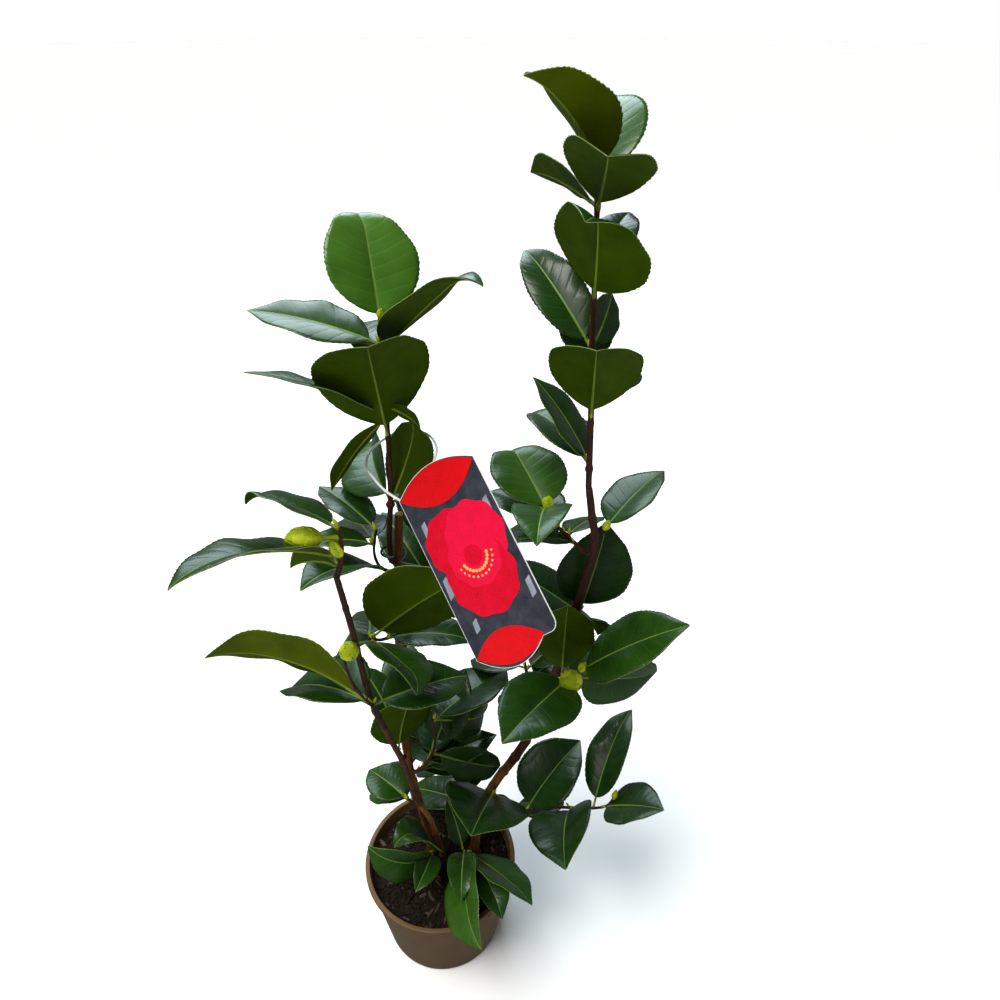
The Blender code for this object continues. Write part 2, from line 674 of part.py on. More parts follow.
def build_label(where):
    curve = bpy.data.curves.new("label", "CURVE")
    curve.dimensions, curve.fill_mode = "2D", "BOTH"
    curve.extrude = LABEL_THICKNESS / 2 * MM
    outline = label_outline()
    spline = curve.splines.new("POLY")
    spline.points.add(len(outline) - 1)
    spline.use_cyclic_u = True
    for point, (x, y) in zip(spline.points, outline):
        point.co = (x * MM, y * MM, 0, 1)
    label = place("label", curve, LABEL_LOOK, where)
    label.location = np.array(LABEL_PLACE) * MM
    label.rotation_euler = np.radians(LABEL_TURN)


def build_strap(where):
    """The loop that hangs the label on the crown shoot."""
    line = smooth(STRAP)
    tube("label_strap", line, [STRAP_RADIUS] * len(line), STRAP_LOOK, where, resolution=1)


def build_tie(where):
    line = tie_line()
    tube("tie", line, [TIE_RADIUS] * len(line), TIE_LOOK, where, resolution=1)


def main():
    for obj in list(bpy.data.objects):
        bpy.data.objects.remove(obj)
    where = holding_collection("Potted camellia")
    build_pot(where)
    build_soil(where)
    for name in STEMS:
        build_stem(name, where)
    lines, rows = grow()
    for name, shoot in SHOOTS.items():
        build_mass(name, shoot, lines[name], rows[name], where)
    build_label(where)
    build_strap(where)
    build_tie(where)


main()
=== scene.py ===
"""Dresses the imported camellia: fine leaves, barked stems, scaled buds, the turned pot with its
compost, the label card, its strap and a wire tie. The routes, the leaf rows and the growth rule are
the part's own, written again; some buds are shaped anew. Tables are in millimetres and degrees,
everything made is in metres.
"""

import random
from math import copysign, cos, pi, radians, sin, sqrt

import bmesh
import bpy
import numpy as np
from mathutils import Euler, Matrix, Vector, noise


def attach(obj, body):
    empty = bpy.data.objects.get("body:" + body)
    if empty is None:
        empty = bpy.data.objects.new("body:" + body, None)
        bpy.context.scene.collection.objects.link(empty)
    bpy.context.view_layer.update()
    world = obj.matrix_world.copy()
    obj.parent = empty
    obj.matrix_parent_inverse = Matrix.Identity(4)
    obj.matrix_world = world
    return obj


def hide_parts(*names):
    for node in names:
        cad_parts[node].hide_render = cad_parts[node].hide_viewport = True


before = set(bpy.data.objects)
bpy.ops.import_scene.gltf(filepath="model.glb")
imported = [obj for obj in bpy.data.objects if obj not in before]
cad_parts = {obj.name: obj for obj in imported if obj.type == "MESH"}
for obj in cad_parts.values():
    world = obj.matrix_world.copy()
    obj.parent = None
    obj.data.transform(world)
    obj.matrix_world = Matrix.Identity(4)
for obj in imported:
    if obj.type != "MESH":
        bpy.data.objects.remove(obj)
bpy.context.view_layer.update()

MM = .001
CLEAR = .3  # mm between neighbouring pieces

# ---- pot, compost and label, mm ----
POT_HEIGHT = 120
POT_RIM_RADIUS = 82.5
POT_FOOT_RADIUS = 65
POT_WALL = 2.0
LIP_HEIGHT = 6
LIP_STANDS = 3.0  # how far the lip stands out from the wall
FOOT_THICKNESS = 3.0
DRAIN_HOLES = 8
DRAIN_HOLE_RADIUS = 5
DRAIN_HOLE_RING = 48
SOIL_LEVEL = 108
SOIL_SEED = 11
LABEL_SIZE = (68, 122)
LABEL_THICKNESS = 1.0
LABEL_PLACE = (50, -86, 610)
LABEL_TURN = (62, -40, -13)
LABEL_TOP_BULGE = 11
LABEL_FOOT_BULGE = 12
LABEL_CORNER = 7
LABEL_FOOT_END = 21  # where the foot's bow meets the right edge's short straight
LABEL_SHOULDER = 2  # how far the corners of the head and foot lie inside its height
STRAP_RADIUS = .9
STRAP = [(4.6, -47.8, 627.3), (-2, -42, 627), (-13, -33, 629), (-22, -22, 632), (-29, -9, 635),
         (-26, 5, 640), (-9, 14, 648), (13, -2, 657), (23, -24, 659), (22, -39, 655),
         (19.6, -46.2, 650)]
TIE_RADIUS = .9
TIE_CENTRE = (-16.5, -5.5, 551)
TIE_TURN = 9.5
TIE_ANGLES = (-.9, 4.9)
TIE_TAIL = [(20, -6, -2), (12, -4, -1), (5, -2.5, -.5)]

# ---- leaves ----
LEAF_ROOM = 6  # mm that a seeded leaf keeps from other leaves
LIMB_ROOM = 11  # mm that its blade keeps from the middle of a stem
PETIOLE_ROOM = 8  # mm that its petiole keeps from it
PETIOLE = .10  # share of a leaf's length
PETIOLE_HALF_WIDTH = .9
FOOT_INSET = .01  # share of a shoot, at either end, with no leaf's foot on it
BLADE_FROM, STALK_FROM = .2, .08  # shares of a leaf from which it is kept clear of others, of stems
BUD_PROFILE = [(0, .22), (.12, .62), (.3, .95), (.5, 1), (.7, .78), (.87, .42), (1, .06)]
SHOOT_TAPER = .6
COLLAR = 3  # mm that a side shoot stands straight out of its stem before it bends
# habit: width as a share of length, fold of each half, arch of the whole, hook of the tip
HABITS = {
    "flat": (.52, 6, 20, 0),
    "open": (.60, 8, 15, 10),
    "broad": (.74, 8, 18, 10),
    "round": (.76, 8, 8, 70),
    "arched": (.52, 14, 40, 15),
    "drooping": (.50, 16, 80, 10),
    "cupped": (.72, 20, 40, 0),
    "folded": (.60, 30, 35, 10),
    "hooked": (.50, 20, 15, 130),
    "slim": (.40, 12, 34, 20),
}

# what the rule draws for a leaf on a shoot's far side, and how often it tries for each
BEHIND_SPREAD = 75  # degrees either side of straight back
BEHIND_RISE = (-35, 45)
BEHIND_LENGTH = (56, 94)
BEHIND_HABITS = ("open", "arched", "flat")
TRIES = 8

# stem: (route, radius at the ground, radius at the top)
STEMS = {
    "stem_left": (
        [(2, 8, 108), (-3, -20, 215), (-13, -36, 280), (-17, -57, 360), (-26, -75, 433),
         (-30, -91, 492), (-29, -111, 569), (-29, -127, 628)], 2.9, 1.9),
    "stem_centre": (
        [(-11, 14, 108), (-16, 12, 175), (-25, 8, 262), (-24, 4, 372), (-20, 1, 456),
         (-14, -2, 544), (-10, -3, 588)], 4.6, 3.2),
    "stem_right": (
        [(37, 11, 108), (42, 10, 165), (58, 9, 233), (90, 7, 306), (116, 5, 408),
         (130, 3, 488), (140, 2, 550), (136, 2, 583), (132, 1, 608)], 5.6, 2.6),
}
SMOOTH_STEPS = 4
FINE_STEPS = 12  # where room round a stem is measured
FLARE_HEIGHT = 16
FLARE = .45

# shoot: the stem it grows on, radius at its foot, how many seeded leaves behind and their seed, then its
# route, leaves (share, bearing, rise, length, roll, habit), buds (share, bearing, rise, length, width, form)
SHOOTS = {
    "crown_centre": ("stem_centre", 2.4, (6, 10),
        [(-20, -9, 545), (-18, -10, 570), (-14, -10, 606), (-12, -9, 648), (-10, -10, 708), (-9, -11, 746)],
        [(.97, 105, 58, 83, -16, "round"), (.91, 172, 20, 90, 6, "flat"), (.89, -13, 47, 90, 16, "round"),
         (.57, -99, 73, 112, -24, "cupped"), (.65, -170, 34, 96, -19, "flat"),
         (.3, 28, 62, 75, 140, "arched"), (.69, -12, -17, 42, 42, "cupped"),
         (.65, -174, -44, 70, -32, "flat"), (.3, 116, 11, 96, 52, "folded")],
        [(1.0, -60, 60, 9, 5, "pointed"), (.97, 20, 50, 11, 5, "pointed")]),
    "centre_side": ("stem_centre", 1.5, (1, 2),
        [(-20, -4, 532), (-28, -9, 542), (-30, -13, 560), (-25, -20, 586)],
        [(.99, 136, 16, 68, -12, "flat"), (.7, -160, 30, 52, 0, "arched"),
         (.17, -130, 41, 87, -9, "arched")], []),
    "left_spray": ("stem_left", 1.9, (2, 3),
        [(-29, -128, 632), (-23, -132, 652), (-21, -136, 674)],
        [(.99, 158, 16, 60, -33, "round"), (.49, -139, 37, 104, -20, "slim"),
         (.3, 144, -9, 40, -48, "folded")],
        [(.85, -172, 2, 30, 13.5, "stalked"), (.5, -150, 70, 15, 7.5, "pointed")]),
    "left_low": ("stem_left", 1.5, (1, 31),
        [(-26, -98, 482), (-26, -103, 491), (-37, -102, 512), (-39, -109, 548)],
        [(.29, 152, 17, 125, -75, "arched"), (.11, 148, -2, 92, -9, "cupped")],
        [(1, -40, 50, 20, 12.5, "stalked")]),
    "left_foot": ("stem_left", 1.3, (1, 29),
        [(-17, -43, 284), (-20, -45, 292)],
        [(1, 140, 5, 54, -1, "broad")], []),
    "centre_front": ("stem_centre", 1.7, (2, 48),
        [(-26, -5, 461), (-30, -30, 483), (-34, -52, 507)],
        [(.92, 3, 44, 110, 78, "broad"), (.94, -46, 8, 72, 38, "round"), (.3, -5, 20, 76, 0, "arched")], []),
    "centre_low": ("stem_centre", 2.0, (4, 54),
        [(-18, 2, 266), (-8, -4, 285), (4, -8, 320), (4, -8, 360)],
        [(.97, 47, 5, 97, 19, "broad"), (1, 33, -36, 102, -74, "slim"), (.2, 21, 19, 80, 0, "flat"),
         (.51, 1, -26, 86, -54, "slim"), (.31, 37, -14, 66, -4, "arched"), (.6, 60, 50, 80, 0, "open"),
         (.19, 71, -19, 90, 17, "round")], []),
    "centre_left": ("stem_centre", 1.7, (2, 30),
        [(-30, -5, 292), (-35, -3, 320), (-36, 0, 356)],
        [(.26, -32, 80, 118, 30, "flat"), (1, 129, 38, 54, -9, "open"), (.73, 101, 0, 62, 4, "open")], []),
    "crown_right": ("stem_right", 2.5, (4, 44),
        [(132, 1, 609), (129, 0, 672), (126, -1, 726), (125, -2, 756), (123, -3, 808), (125, -4, 828)],
        [(1, -148, 58, 82, -15, "folded"), (.98, 78, 44, 80, -12, "folded"),
         (.91, -88, 49, 77, 18, "cupped"), (.92, 120, 15, 65, -42, "broad"), (.66, -96, 59, 86, 30, "round"),
         (.76, 60, 30, 55, 0, "open"), (.5, 135, 46, 93, 32, "slim"), (.51, 60, 34, 48, -54, "flat"),
         (.26, -97, 72, 91, 1, "cupped"), (.09, 147, 58, 75, -7, "flat")],
        [(1.0, 60, 80, 15, 6, "pointed")]),
    "right_inner": ("stem_right", 1.8, (3, 6),
        [(134, -1, 547), (120, -2, 564), (106, 0, 579), (101, 1, 592)],
        [(.9, 113, 20, 82, -1, "round"), (.97, -101, 36, 84, -7, "arched"), (.46, 60, -8, 59, 17, "flat"),
         (.3, -170, 25, 50, 0, "slim")],
        [(1, -60, 75, 11, 8, "blunt")]),
    "right_mid": ("stem_right", 1.6, (1, 1),
        [(144, 6, 558), (149, 10, 566)],
        [(.76, 42, 33, 72, 21, "broad")],
        [(.8, -60, 70, 13, 6, "pointed")]),
    "right_back": ("stem_right", 1.6, (3, 8),
        [(132, 9, 472), (136, 16, 478)],
        [(.63, 4, 77, 87, -90, "broad")], []),
    "right_low": ("stem_right", 2.0, (2, 3),
        [(121, -2, 412), (128, -12, 420), (134, -18, 434)],
        [(.1, -100, 90, 98, -7, "flat"), (.85, -20, 52, 117, -15, "flat"), (.62, 11, -18, 91, -96, "broad"),
         (.52, -125, 18, 106, 4, "open")],
        [(.6, -105, 22, 22, 19.5, "blunt"), (1, -30, 70, 14, 6.5, "pointed")]),
    "right_outer": ("stem_right", 1.9, (3, 5),
        [(49, 10, 160), (103, 8, 196), (169, 5, 202), (185, 5, 217)],
        [(.36, 38, 50, 96, -7, "cupped"), (.68, -109, 38, 101, -33, "cupped"),
         (.83, 67, 49, 114, 21, "slim"), (.89, -31, 44, 78, 1, "broad")],
        [(1, 60, 60, 12, 6, "pointed")]),
    "right_foot": ("stem_right", 1.5, (1, 1),
        [(60, 1, 238), (60, -5, 244)],
        [(.89, -100, 45, 112, 12, "broad"), (.58, -45, -47, 40, -13, "arched")], []),
    "base_right": ("stem_right", 1.7, (0, 0),
        [(36, 2, 126), (29, -6, 138), (26, -10, 150)],
        [(1, 120, 70, 60, 0, "slim"), (.78, -92, 42, 65, -2, "drooping"), (.32, -59, 13, 81, 12, "arched"),
         (.55, -38, 13, 95, 37, "open"), (.35, -97, 17, 113, -55, "arched")], []),
    "base_left": ("stem_centre", 1.7, (0, 0),
        [(-15, 6, 124), (-8, -4, 134), (-5, -8, 144)],
        [(1, -130, 71, 97, 10, "hooked"), (.6, -118, 32, 92, 109, "drooping"),
         (.73, -101, 24, 52, 20, "folded")], []),
    "back_centre": ("stem_centre", 1.8, (7, 5),
        [(-22, 9, 420), (-12, 24, 446), (6, 38, 478), (16, 46, 520)],
        [],
        [(1, 80, 60, 15, 7, "pointed")]),
    "back_right": ("stem_right", 1.8, (7, 1),
        [(100, 13, 336), (96, 28, 352), (90, 42, 380), (88, 52, 414)],
        [],
        [(1, 90, 60, 15, 7, "pointed")]),
    "back_left": ("stem_centre", 1.8, (6, 16),
        [(-21, 17, 232), (-32, 31, 248), (-37, 44, 284), (-34, 54, 320)],
        [],
        [(1, 90, 60, 15, 7, "pointed")]),
    "back_low": ("stem_right", 1.8, (5, 2),
        [(42, 19, 148), (36, 34, 160), (22, 46, 184), (12, 52, 214)],
        [],
        [(1, 90, 60, 15, 7, "pointed")]),
}

# ---- looks: each mottles between two base colours, and what has a place takes its look by shoot ----
UPPER_GREENS = {"dark": ((.006, .025, .002), (.012, .042, .003)),
                "deep": ((.010, .040, .002), (.018, .062, .004)),
                "mid": ((.020, .066, .003), (.032, .092, .006)),
                "fresh": ((.042, .132, .008), (.062, .168, .013))}
# the pale under green is a lighter copy of the under side that paints the glow of light shining through the
# leaf
UNDER_GREENS = {"olive": ((.027, .052, .0003), (.038, .067, .0006)),
                "pale": ((.048, .068, .0006), (.066, .090, .001))}
VEIN_TINTS = ((1.05, .001), (1.25, .002))  # how a vein's colours follow from its leaf's lighter one
# first look number of each kind, in the order of leaf_looks
UPPER, VEIN, UNDER, RIB_UPPER_LOOK, RIB_UNDER_LOOK, MARGIN_GLOW_LOOK = 0, 4, 8, 10, 11, 12
# the upper green of a shoot that isn't dark, and the greens of leaves that differ from their shoot's
SHOOT_GREEN = {"crown_centre": 1, "base_right": 1, "base_left": 1, "left_foot": 1, "right_low": 1,
               "right_inner": 1, "right_mid": 1}
LEAF_GREEN = {("crown_centre", 0): 3, ("right_inner", 0): 2, ("base_right", 0): 0, ("base_right", 4): 2,
              ("crown_right", 1): 2, ("crown_right", 3): 2, ("centre_front", 1): 1}
# leaves whose under side takes the pale green, a painted glow of light shining through the leaf
LEAF_UNDER = {("left_low", 0): 1, ("crown_right", 0): 1}
# the other looks: two colours, roughness from and to, scale of the mottling, then relief and grain,
# lengthwise stretch and specular level
LOOKS = {
    "bark_old": ((.170, .062, .012), (.080, .028, .006), (.75, .95), 260, .9, 1400, 5, .15),
    "bark_middle": ((.085, .028, .010), (.040, .013, .005), (.6, .85), 260, .8, 1400, 5, .15),
    "bark_young": ((.060, .017, .009), (.028, .008, .004), (.45, .65), 300, .5, 1500, 6, .2),
    "cut_wood": ((.42, .27, .13), (.30, .18, .08), (.7, .9), 500, .5, 2500),
    "twig_young": ((.060, .017, .009), (.028, .008, .004), (.42, .6), 300, .4, 1500, 6, .2),
    "bud_scale": ((.36, .44, .008), (.24, .34, .006), (.4, .55), 250, .3, 1800, None, .15),
    "bud_scale_light": ((.52, .56, .02), (.38, .46, .012), (.4, .55), 250, .3, 1800, None, .15),
    "leaf_rib_upper": ((.11, .20, .030), (.16, .26, .045), (.36, .48), 200, 0, 900, None, .2),
    "leaf_rib_under": ((.12, .17, .018), (.16, .21, .026), (.45, .55), 200, 0, 900, None, .1),
    # the margin's pale green is partly the thin edge's own colour and partly a painted glow of light shining
    # through it
    "leaf_margin_and_glow": ((.13, .20, .04), (.20, .28, .07), (.40, .55), 300, 0, 900, None, .1),
    "compost_dark": ((.006, .004, .002), (.013, .008, .004), (.8, 1.0), 350, 1.0, 1500, None, .1),
    "compost_crumb": ((.008, .005, .003), (.015, .009, .005), (.8, 1.0), 500, .8, 1800, None, .1),
    "bark_chip": ((.034, .015, .007), (.018, .008, .005), (.7, .9), 300, .8, 1500, 3),
    "pale_crumb": ((.070, .048, .030), (.040, .026, .016), (.7, .9), 500, .5, 1800),
    "pot_plastic": ((.118, .066, .022), (.098, .055, .018), (.42, .55), 45, .16, 2200, None, .25),
    "strap_white": ((.82, .82, .80), (.76, .76, .74), (.3, .4), 200, .1, 1500),
    "tie_dark": ((.012, .014, .012), (.020, .022, .018), (.45, .6), 300, .3, 1500),
    "floor_pale": ((.90, .90, .90), (.88, .88, .88), (.8, .9), 2, 0, 900, None, .1),
}
# the card's looks, and their order
CARD_LOOKS = {"card_white": ((.80, .80, .78), (.74, .74, .73)),
              "card_slate": ((.020, .022, .030), (.045, .050, .065)),
              "card_grey": ((.30, .34, .40), (.16, .18, .22)),
              "card_crimson": ((.64, .002, .022), (.54, .001, .016)),
              "card_rose": ((.74, .005, .045), (.66, .004, .034)),
              "card_yellow": ((.85, .45, .12), (.80, .38, .10)),
              "card_red": ((.64, .003, .006), (.57, .003, .006))}
WHITE, SLATE, GREY, CRIMSON, ROSE, YELLOW, RED = range(7)
RELIEF = .0006  # m that a look's bump stands for
COAT_ROUGHNESS = .12
PATTERN_MIDDLE = (.3, .7)  # the stretch of a noise pattern that is used

# ---- fine leaves and bark, mm or shares ----
VEINS = 8  # side veins each side of the midrib
VEINS_FROM, VEINS_TO = .06, .92
VEIN_HALF = .0022  # share of the blade's length from a vein's middle to its edge
VEIN_SWEEP = .62  # how far the veins run forward
VEIN_DIP = .065
TEETH = 3  # teeth of the edge between two veins
TOOTH = .32
ACROSS = np.array([0, .15, .34, .53, .72, .88, 1])  # columns of half a blade, from the rib's edge
BLADE_THICK, EDGE_THICK = .75, .5
RIB_HALF, RIB_DEEP, RIB_SUNK = .95, 1.1, .25  # at the blade's foot
PILLOW = .045  # how much each half arches up, of its width
EDGE_WAVE = .011  # of the leaf's length
EDGE_WAVES = (1.5, 3.2)
PETIOLE_RADIUS = 1.15
PETIOLE_SWELL = np.array([1.35, 1.1, .95, .9, .9, .85, .7, .3])
WOOD_CHANGES = {"stem_left": (.30, .62), "stem_centre": (1.1, 1.2), "stem_right": (.34, .70)}
KNOT_SWELL, KNOT_HALF = .16, 2.2
STEM_BARK, TWIG_BARK = (.075, 1.6, 24), (.05, 1.2, 12)  # relief, step along, sides
LIMB_SUNK = 2.0  # how far a shoot's foot is carried into its stem
BUD_INSIDE = .94  # width of a bud within its scales
SCALE_GRID = 6  # points of a bud scale each way
SCALE_CLEAR, SCALE_RIDGE, SCALE_THICK = .12, .16, .26
SCALE_FLARE = .025  # share of the bud's radius that a scale's tip stands off
# tiers of scales from the tip down: from and to shares of the bud, how many scales, half angle of each
BUD_TIERS = [(.42, 1.0, 3, .8), (.24, .84, 4, .62), (.08, .62, 4, .62), (-.02, .42, 4, .62)]
AXIL_RISE, AXIL_BUD = 60, (6.5, 2.4, "pointed")  # the small bud over each leaf's foot, as in the table
# a bud's form: the share of its length that is stalk, and its width along its length
BUD_FORMS = {
    "pointed": (0, BUD_PROFILE),
    "blunt": (0, [(0, .3), (.1, .7), (.28, .95), (.5, 1), (.72, .88), (.88, .58), (.97, .25), (1, .05)]),
    "stalked": (.34, [(0, .17), (.3, .18), (.37, .5), (.48, .88), (.66, 1), (.84, .86), (.95, .5),
                      (1, .08)]),
}
# leaves left out where the photograph shows sky, and a leaf turned from its CAD row
OPEN = {("left_spray", 3), ("left_spray", 4), ("crown_centre", 11), ("crown_right", 12)}
TURNED = {("crown_centre", 6): (.69, -12, -17, 30, 75, "slim")}
# leaves are joined by region, and each region's piece stands for these shoots
REGIONS = {
    "crown_left": ["crown_centre", "centre_side"],
    "crown_right": ["crown_right", "right_inner", "right_mid", "right_back"],
    "left": ["left_spray", "left_low", "left_foot", "centre_left"],
    "middle": ["centre_front", "centre_low", "base_right", "base_left"],
    "right": ["right_low", "right_outer", "right_foot"],
    "back": ["back_centre", "back_right", "back_left", "back_low"],
}

# ---- fine pot, compost and card, mm ----
LIP_FOOT = POT_HEIGHT - LIP_HEIGHT
LIP_ROLL, BORE_ROLL, FOOT_ROLL = 1.3, 1.1, 2.6  # radii of the pot's rounded edges
LIP_UNDERSIDE = [(0, 1.2), (.35, .35), (1.2, 0)]  # in from the rim, up from the lip's foot
LIP_FILLET = [(.5, 0), (0, .6)]  # out from the wall, down from the lip's foot
RING_DEPTH, RING_TURN = .06, .9  # faint moulding rings on the wall
FOOT_RING, FOOT_HOLLOW = 6, .8  # width of the ring that it stands on, and the hollow within
POT_TURNS, HOLE_SIDES, CORD_SIDES = 144, 24, 12
SHARP_ANGLE = 35  # degrees from which an edge of the pot shows
COMPOST_RINGS, COMPOST_TURNS = 60, 180
COMPOST_GAP = .5  # between the compost and the wall
COMPOST_EDGE = 1.6  # how far the top falls at the wall
COMPOST_SINK, COMPOST_LUMPS, COMPOST_TOP = .6, 1.3, 1.5  # mean depth, lumps, and highest above the level
CRUMBS = 2600
CRUMB_SIZES = (.6, .8, 1.0, 1.3, 1.8, 2.6)  # half of a crumb's side
CRUMB_LOOKS, CRUMB_SHARES = (1, 2, 3), (40, 3, 1)
CRUMB_SCALE, CRUMB_JOG = (.7, 1.3), (.7, 1.15)  # how much a crumb's size and its corners vary
CRUMB_WIDE, CRUMB_TALL = (.5, .9), (.35, .7)  # shares of its size
CRUMB_REACH, CRUMB_SUNK = .98, .3
CHIP_FROM, CHIP_STRETCH = 1.5, (1, 2.6)  # size from which a crumb is a chip, and how long that may be
CRUMB_CORNERS = [(-1, -1, -1), (1, -1, -1), (1, 1, -1), (-1, 1, -1),
                 (-.8, -.7, 1), (.7, -.8, 1), (.8, .7, 1), (-.7, .8, 1)]
CRUMB_FACES = [(0, 3, 2, 1), (4, 5, 6, 7), (0, 1, 5, 4), (1, 2, 6, 5), (2, 3, 7, 6), (3, 0, 4, 7)]
CARD_RIM = .4
# each layer's low and high side, measured from the face of the CAD card
CARD_LAYERS = {"body": (-LABEL_THICKNESS, -.2), "ground": (-.25, -.1), "bar": (-.12, -.06),
               "disc": (-.1, 0), "dot": (0, .18), "lens": (-.1, .12)}
CARD_BARS = [(-25, 30, 9), (-20, 27, 7), (27, 24, 10), (-29, -8, 8), (29, -30, 7), (-22, -38, 5)]
CARD_BAR = [(-2.2, -1, 0), (2.2, -1, 2), (2.8, 1, 0), (-1.4, 1, -2)]  # corners: x, hand of its height, up
CARD_DISCS = [(-7, 16, 24, 23, CRIMSON), (9, 14, 23, 24, ROSE), (0, -11, 27, 26, CRIMSON),
              (1, 3, 20, 20, ROSE), (1, 4, 7, 7, CRIMSON)]  # x, y, half width, half height, look
BAR_LIFT, DISC_LIFT = .003, .02  # how far each bar or disc lies above the last
DISC_RIPPLE, DISC_LOBES = .03, 9
CARD_DOTS = 12
DOT_CENTRE, DOT_ARC = (1, 4), (200, 150)
DOT_RINGS = ((10.5, 1.15), (14.5, .8))  # radius of each ring of dots, and of its dots

# ---- light and camera, m ----
WORLD_STRENGTH = .20
WORLD_COLOUR = (.90, .96, 1.0)
SUN_STRENGTH, SUN_WIDTH = 3.3, 32  # the wide soft light overhead, degrees across
SUN_FROM, SUN_COLOUR = (-.35, -.20, 1.0), (1, .99, .97)
# soft boxes: name, watts, side, place, aim, colour
BOXES = [("key", 10, 1.0, (-.9, -1.3, 2.1), (.03, 0, .45), (1, .98, .95)),
         ("sky_back", 42, 1.5, (-.5, 1.6, 1.9), (.03, 0, .5), (.76, .92, 1.0))]
DOME_RADIUS = 18.0  # a white backdrop all round that only the camera sees
CAMERA_PLACE = (.066, -.462, .916)
CAMERA_PITCH = 34.5
CAMERA_LENS, CAMERA_SENSOR = 27, 36  # mm
CAMERA_CLIP = (.02, 50)


# ---- growth: routes, leaf lines and the seeded rule, all in mm ----

def smooth(route, steps=SMOOTH_STEPS):
    """A Catmull-Rom line through the route's points."""
    points = np.array(route, float)
    ends = np.vstack([2 * points[0] - points[1], points, 2 * points[-1] - points[-2]])
    line = []
    for a, b, c, d in zip(ends[:-3], ends[1:-2], ends[2:-1], ends[3:]):
        for t in np.arange(steps) / steps:
            line.append(.5 * (2 * b + (c - a) * t + (2 * a - 5 * b + 4 * c - d) * t ** 2
                              + (3 * b - a - 3 * c + d) * t ** 3))
    return np.array(line + [points[-1]])


def read_at(places, marks, points):
    """Points between those at the marks."""
    return np.stack([np.interp(places, marks, points[:, k]) for k in range(3)], -1)


def run_of(line):
    """How far along the line each of its points lies."""
    return np.r_[0, np.cumsum(np.linalg.norm(np.diff(line, axis=0), axis=1))]


def unit(vectors):
    """A vector, or each of many, at length 1."""
    return vectors / np.linalg.norm(vectors, axis=-1, keepdims=True)


def stem_shape(name):
    """A stem's middle line from its cut on the compost, and its radii with the flare."""
    route, foot_radius, tip_radius = STEMS[name]
    ground = SOIL_LEVEL + CLEAR
    line = smooth([(x, y, max(z, ground)) for x, y, z in route])
    line = np.insert(line, 1, line[0] + [0, 0, FLARE_HEIGHT / 3], axis=0)
    radii = np.linspace(foot_radius, tip_radius, len(line))
    radii *= 1 + FLARE * np.clip(1 - (line[:, 2] - ground) / FLARE_HEIGHT, 0, 1) ** 2
    return line, radii


def shoot_line(shoot):
    """A shoot's line, its foot seated just clear of its stem's side, or of the stem's tip."""
    stem, _, _, route, _, _ = shoot
    line, radii = stem_shape(stem)
    start = np.array(route[0], float)
    if start[2] > line[-1][2]:
        way = unit(line[-1] - line[-2])
        foot = line[-1] + way * CLEAR
    else:
        middle, above = read_at([start[2], start[2] + 1], line[:, 2], line)
        upward = above - middle
        way = start - middle
        way = unit(way - upward * way.dot(upward) / upward.dot(upward))
        foot = middle + way * (np.interp(start[2], line[:, 2], radii) + CLEAR)
    return np.vstack([[foot], smooth([foot + way * COLLAR] + route[1:])])


def leaf_foot(line, row):
    """Where a leaf or bud of this row grows on its shoot."""
    run = run_of(line)
    return read_at((FOOT_INSET + row[0] * (1 - 2 * FOOT_INSET)) * run[-1], run, line)


def leaf_axes(bearing, rise, roll):
    """Forward, right and upward directions of a leaf at its foot."""
    b, e, q = map(radians, (bearing, rise, roll))
    forward = np.array([cos(e) * cos(b), cos(e) * sin(b), sin(e)])
    right = np.array([sin(b), -cos(b), 0.0])
    up = np.cross(right, forward)
    return forward, right * cos(q) + up * sin(q), up * cos(q) - right * sin(q)


def blade_width(u):
    """Half the blade's outline at a share u of its length, 1 at its widest."""
    rise, fall = .62, .86
    peak = (rise / (rise + fall)) ** rise * (fall / (rise + fall)) ** fall
    return np.clip(u, 0, 1) ** rise * (1 - np.clip(u, 0, 1)) ** fall / peak


def leaf_line(foot, row, shares):
    """Midrib points, right and upward directions and half-widths at shares of a leaf."""
    _, bearing, rise, length, roll, habit = row
    width, fold, arch, hook = HABITS[habit]
    forward, right, up = leaf_axes(bearing, rise, roll)

    def bend(t):
        u = np.maximum(0, (t - PETIOLE) / (1 - PETIOLE))
        return np.radians(arch * u ** 1.1 + hook * np.maximum(0, (u - .7) / .3))

    fine = np.linspace(0, 1, 41)
    turn = bend((fine[1:] + fine[:-1]) / 2)[:, None]
    steps = (forward * np.cos(turn) - up * np.sin(turn)) * length / 40
    rib = np.vstack([[foot], foot + np.cumsum(steps, axis=0)])
    shares = np.asarray(shares, float)
    middle = read_at(shares, fine, rib)
    turn = bend(shares)[:, None]
    ups = up * np.cos(turn) + forward * np.sin(turn)
    half = np.maximum(length * width / 2 * blade_width((shares - PETIOLE) / (1 - PETIOLE)),
                      PETIOLE_HALF_WIDTH * (shares < .5))
    return middle, right, ups, half, radians(fold)


def leaf_samples(foot, row, start=BLADE_FROM):
    """Points spread over a leaf from a share of its length on, to keep others clear of it."""
    middle, right, ups, half, fold = leaf_line(foot, row, np.linspace(start, 1, 9))
    across = [middle + half[:, None] * w * (right * cos(fold) + ups * sin(fold) * abs(w))
              for w in (-1, -.5, 0, .5, 1)]
    return np.vstack(across)


def tie_line():
    """A twist of wire round the centre stem, with a tail to the right."""
    turn = [np.array(TIE_CENTRE) + [TIE_TURN * cos(a), TIE_TURN * sin(a), a]
            for a in np.linspace(*TIE_ANGLES, 20)]
    return np.array([turn[0] + np.array(step) for step in TIE_TAIL] + turn)


def nearest(points, others):
    """The smallest distance between two sets of points."""
    return np.linalg.norm(points[:, None] - others[None], axis=2).min()


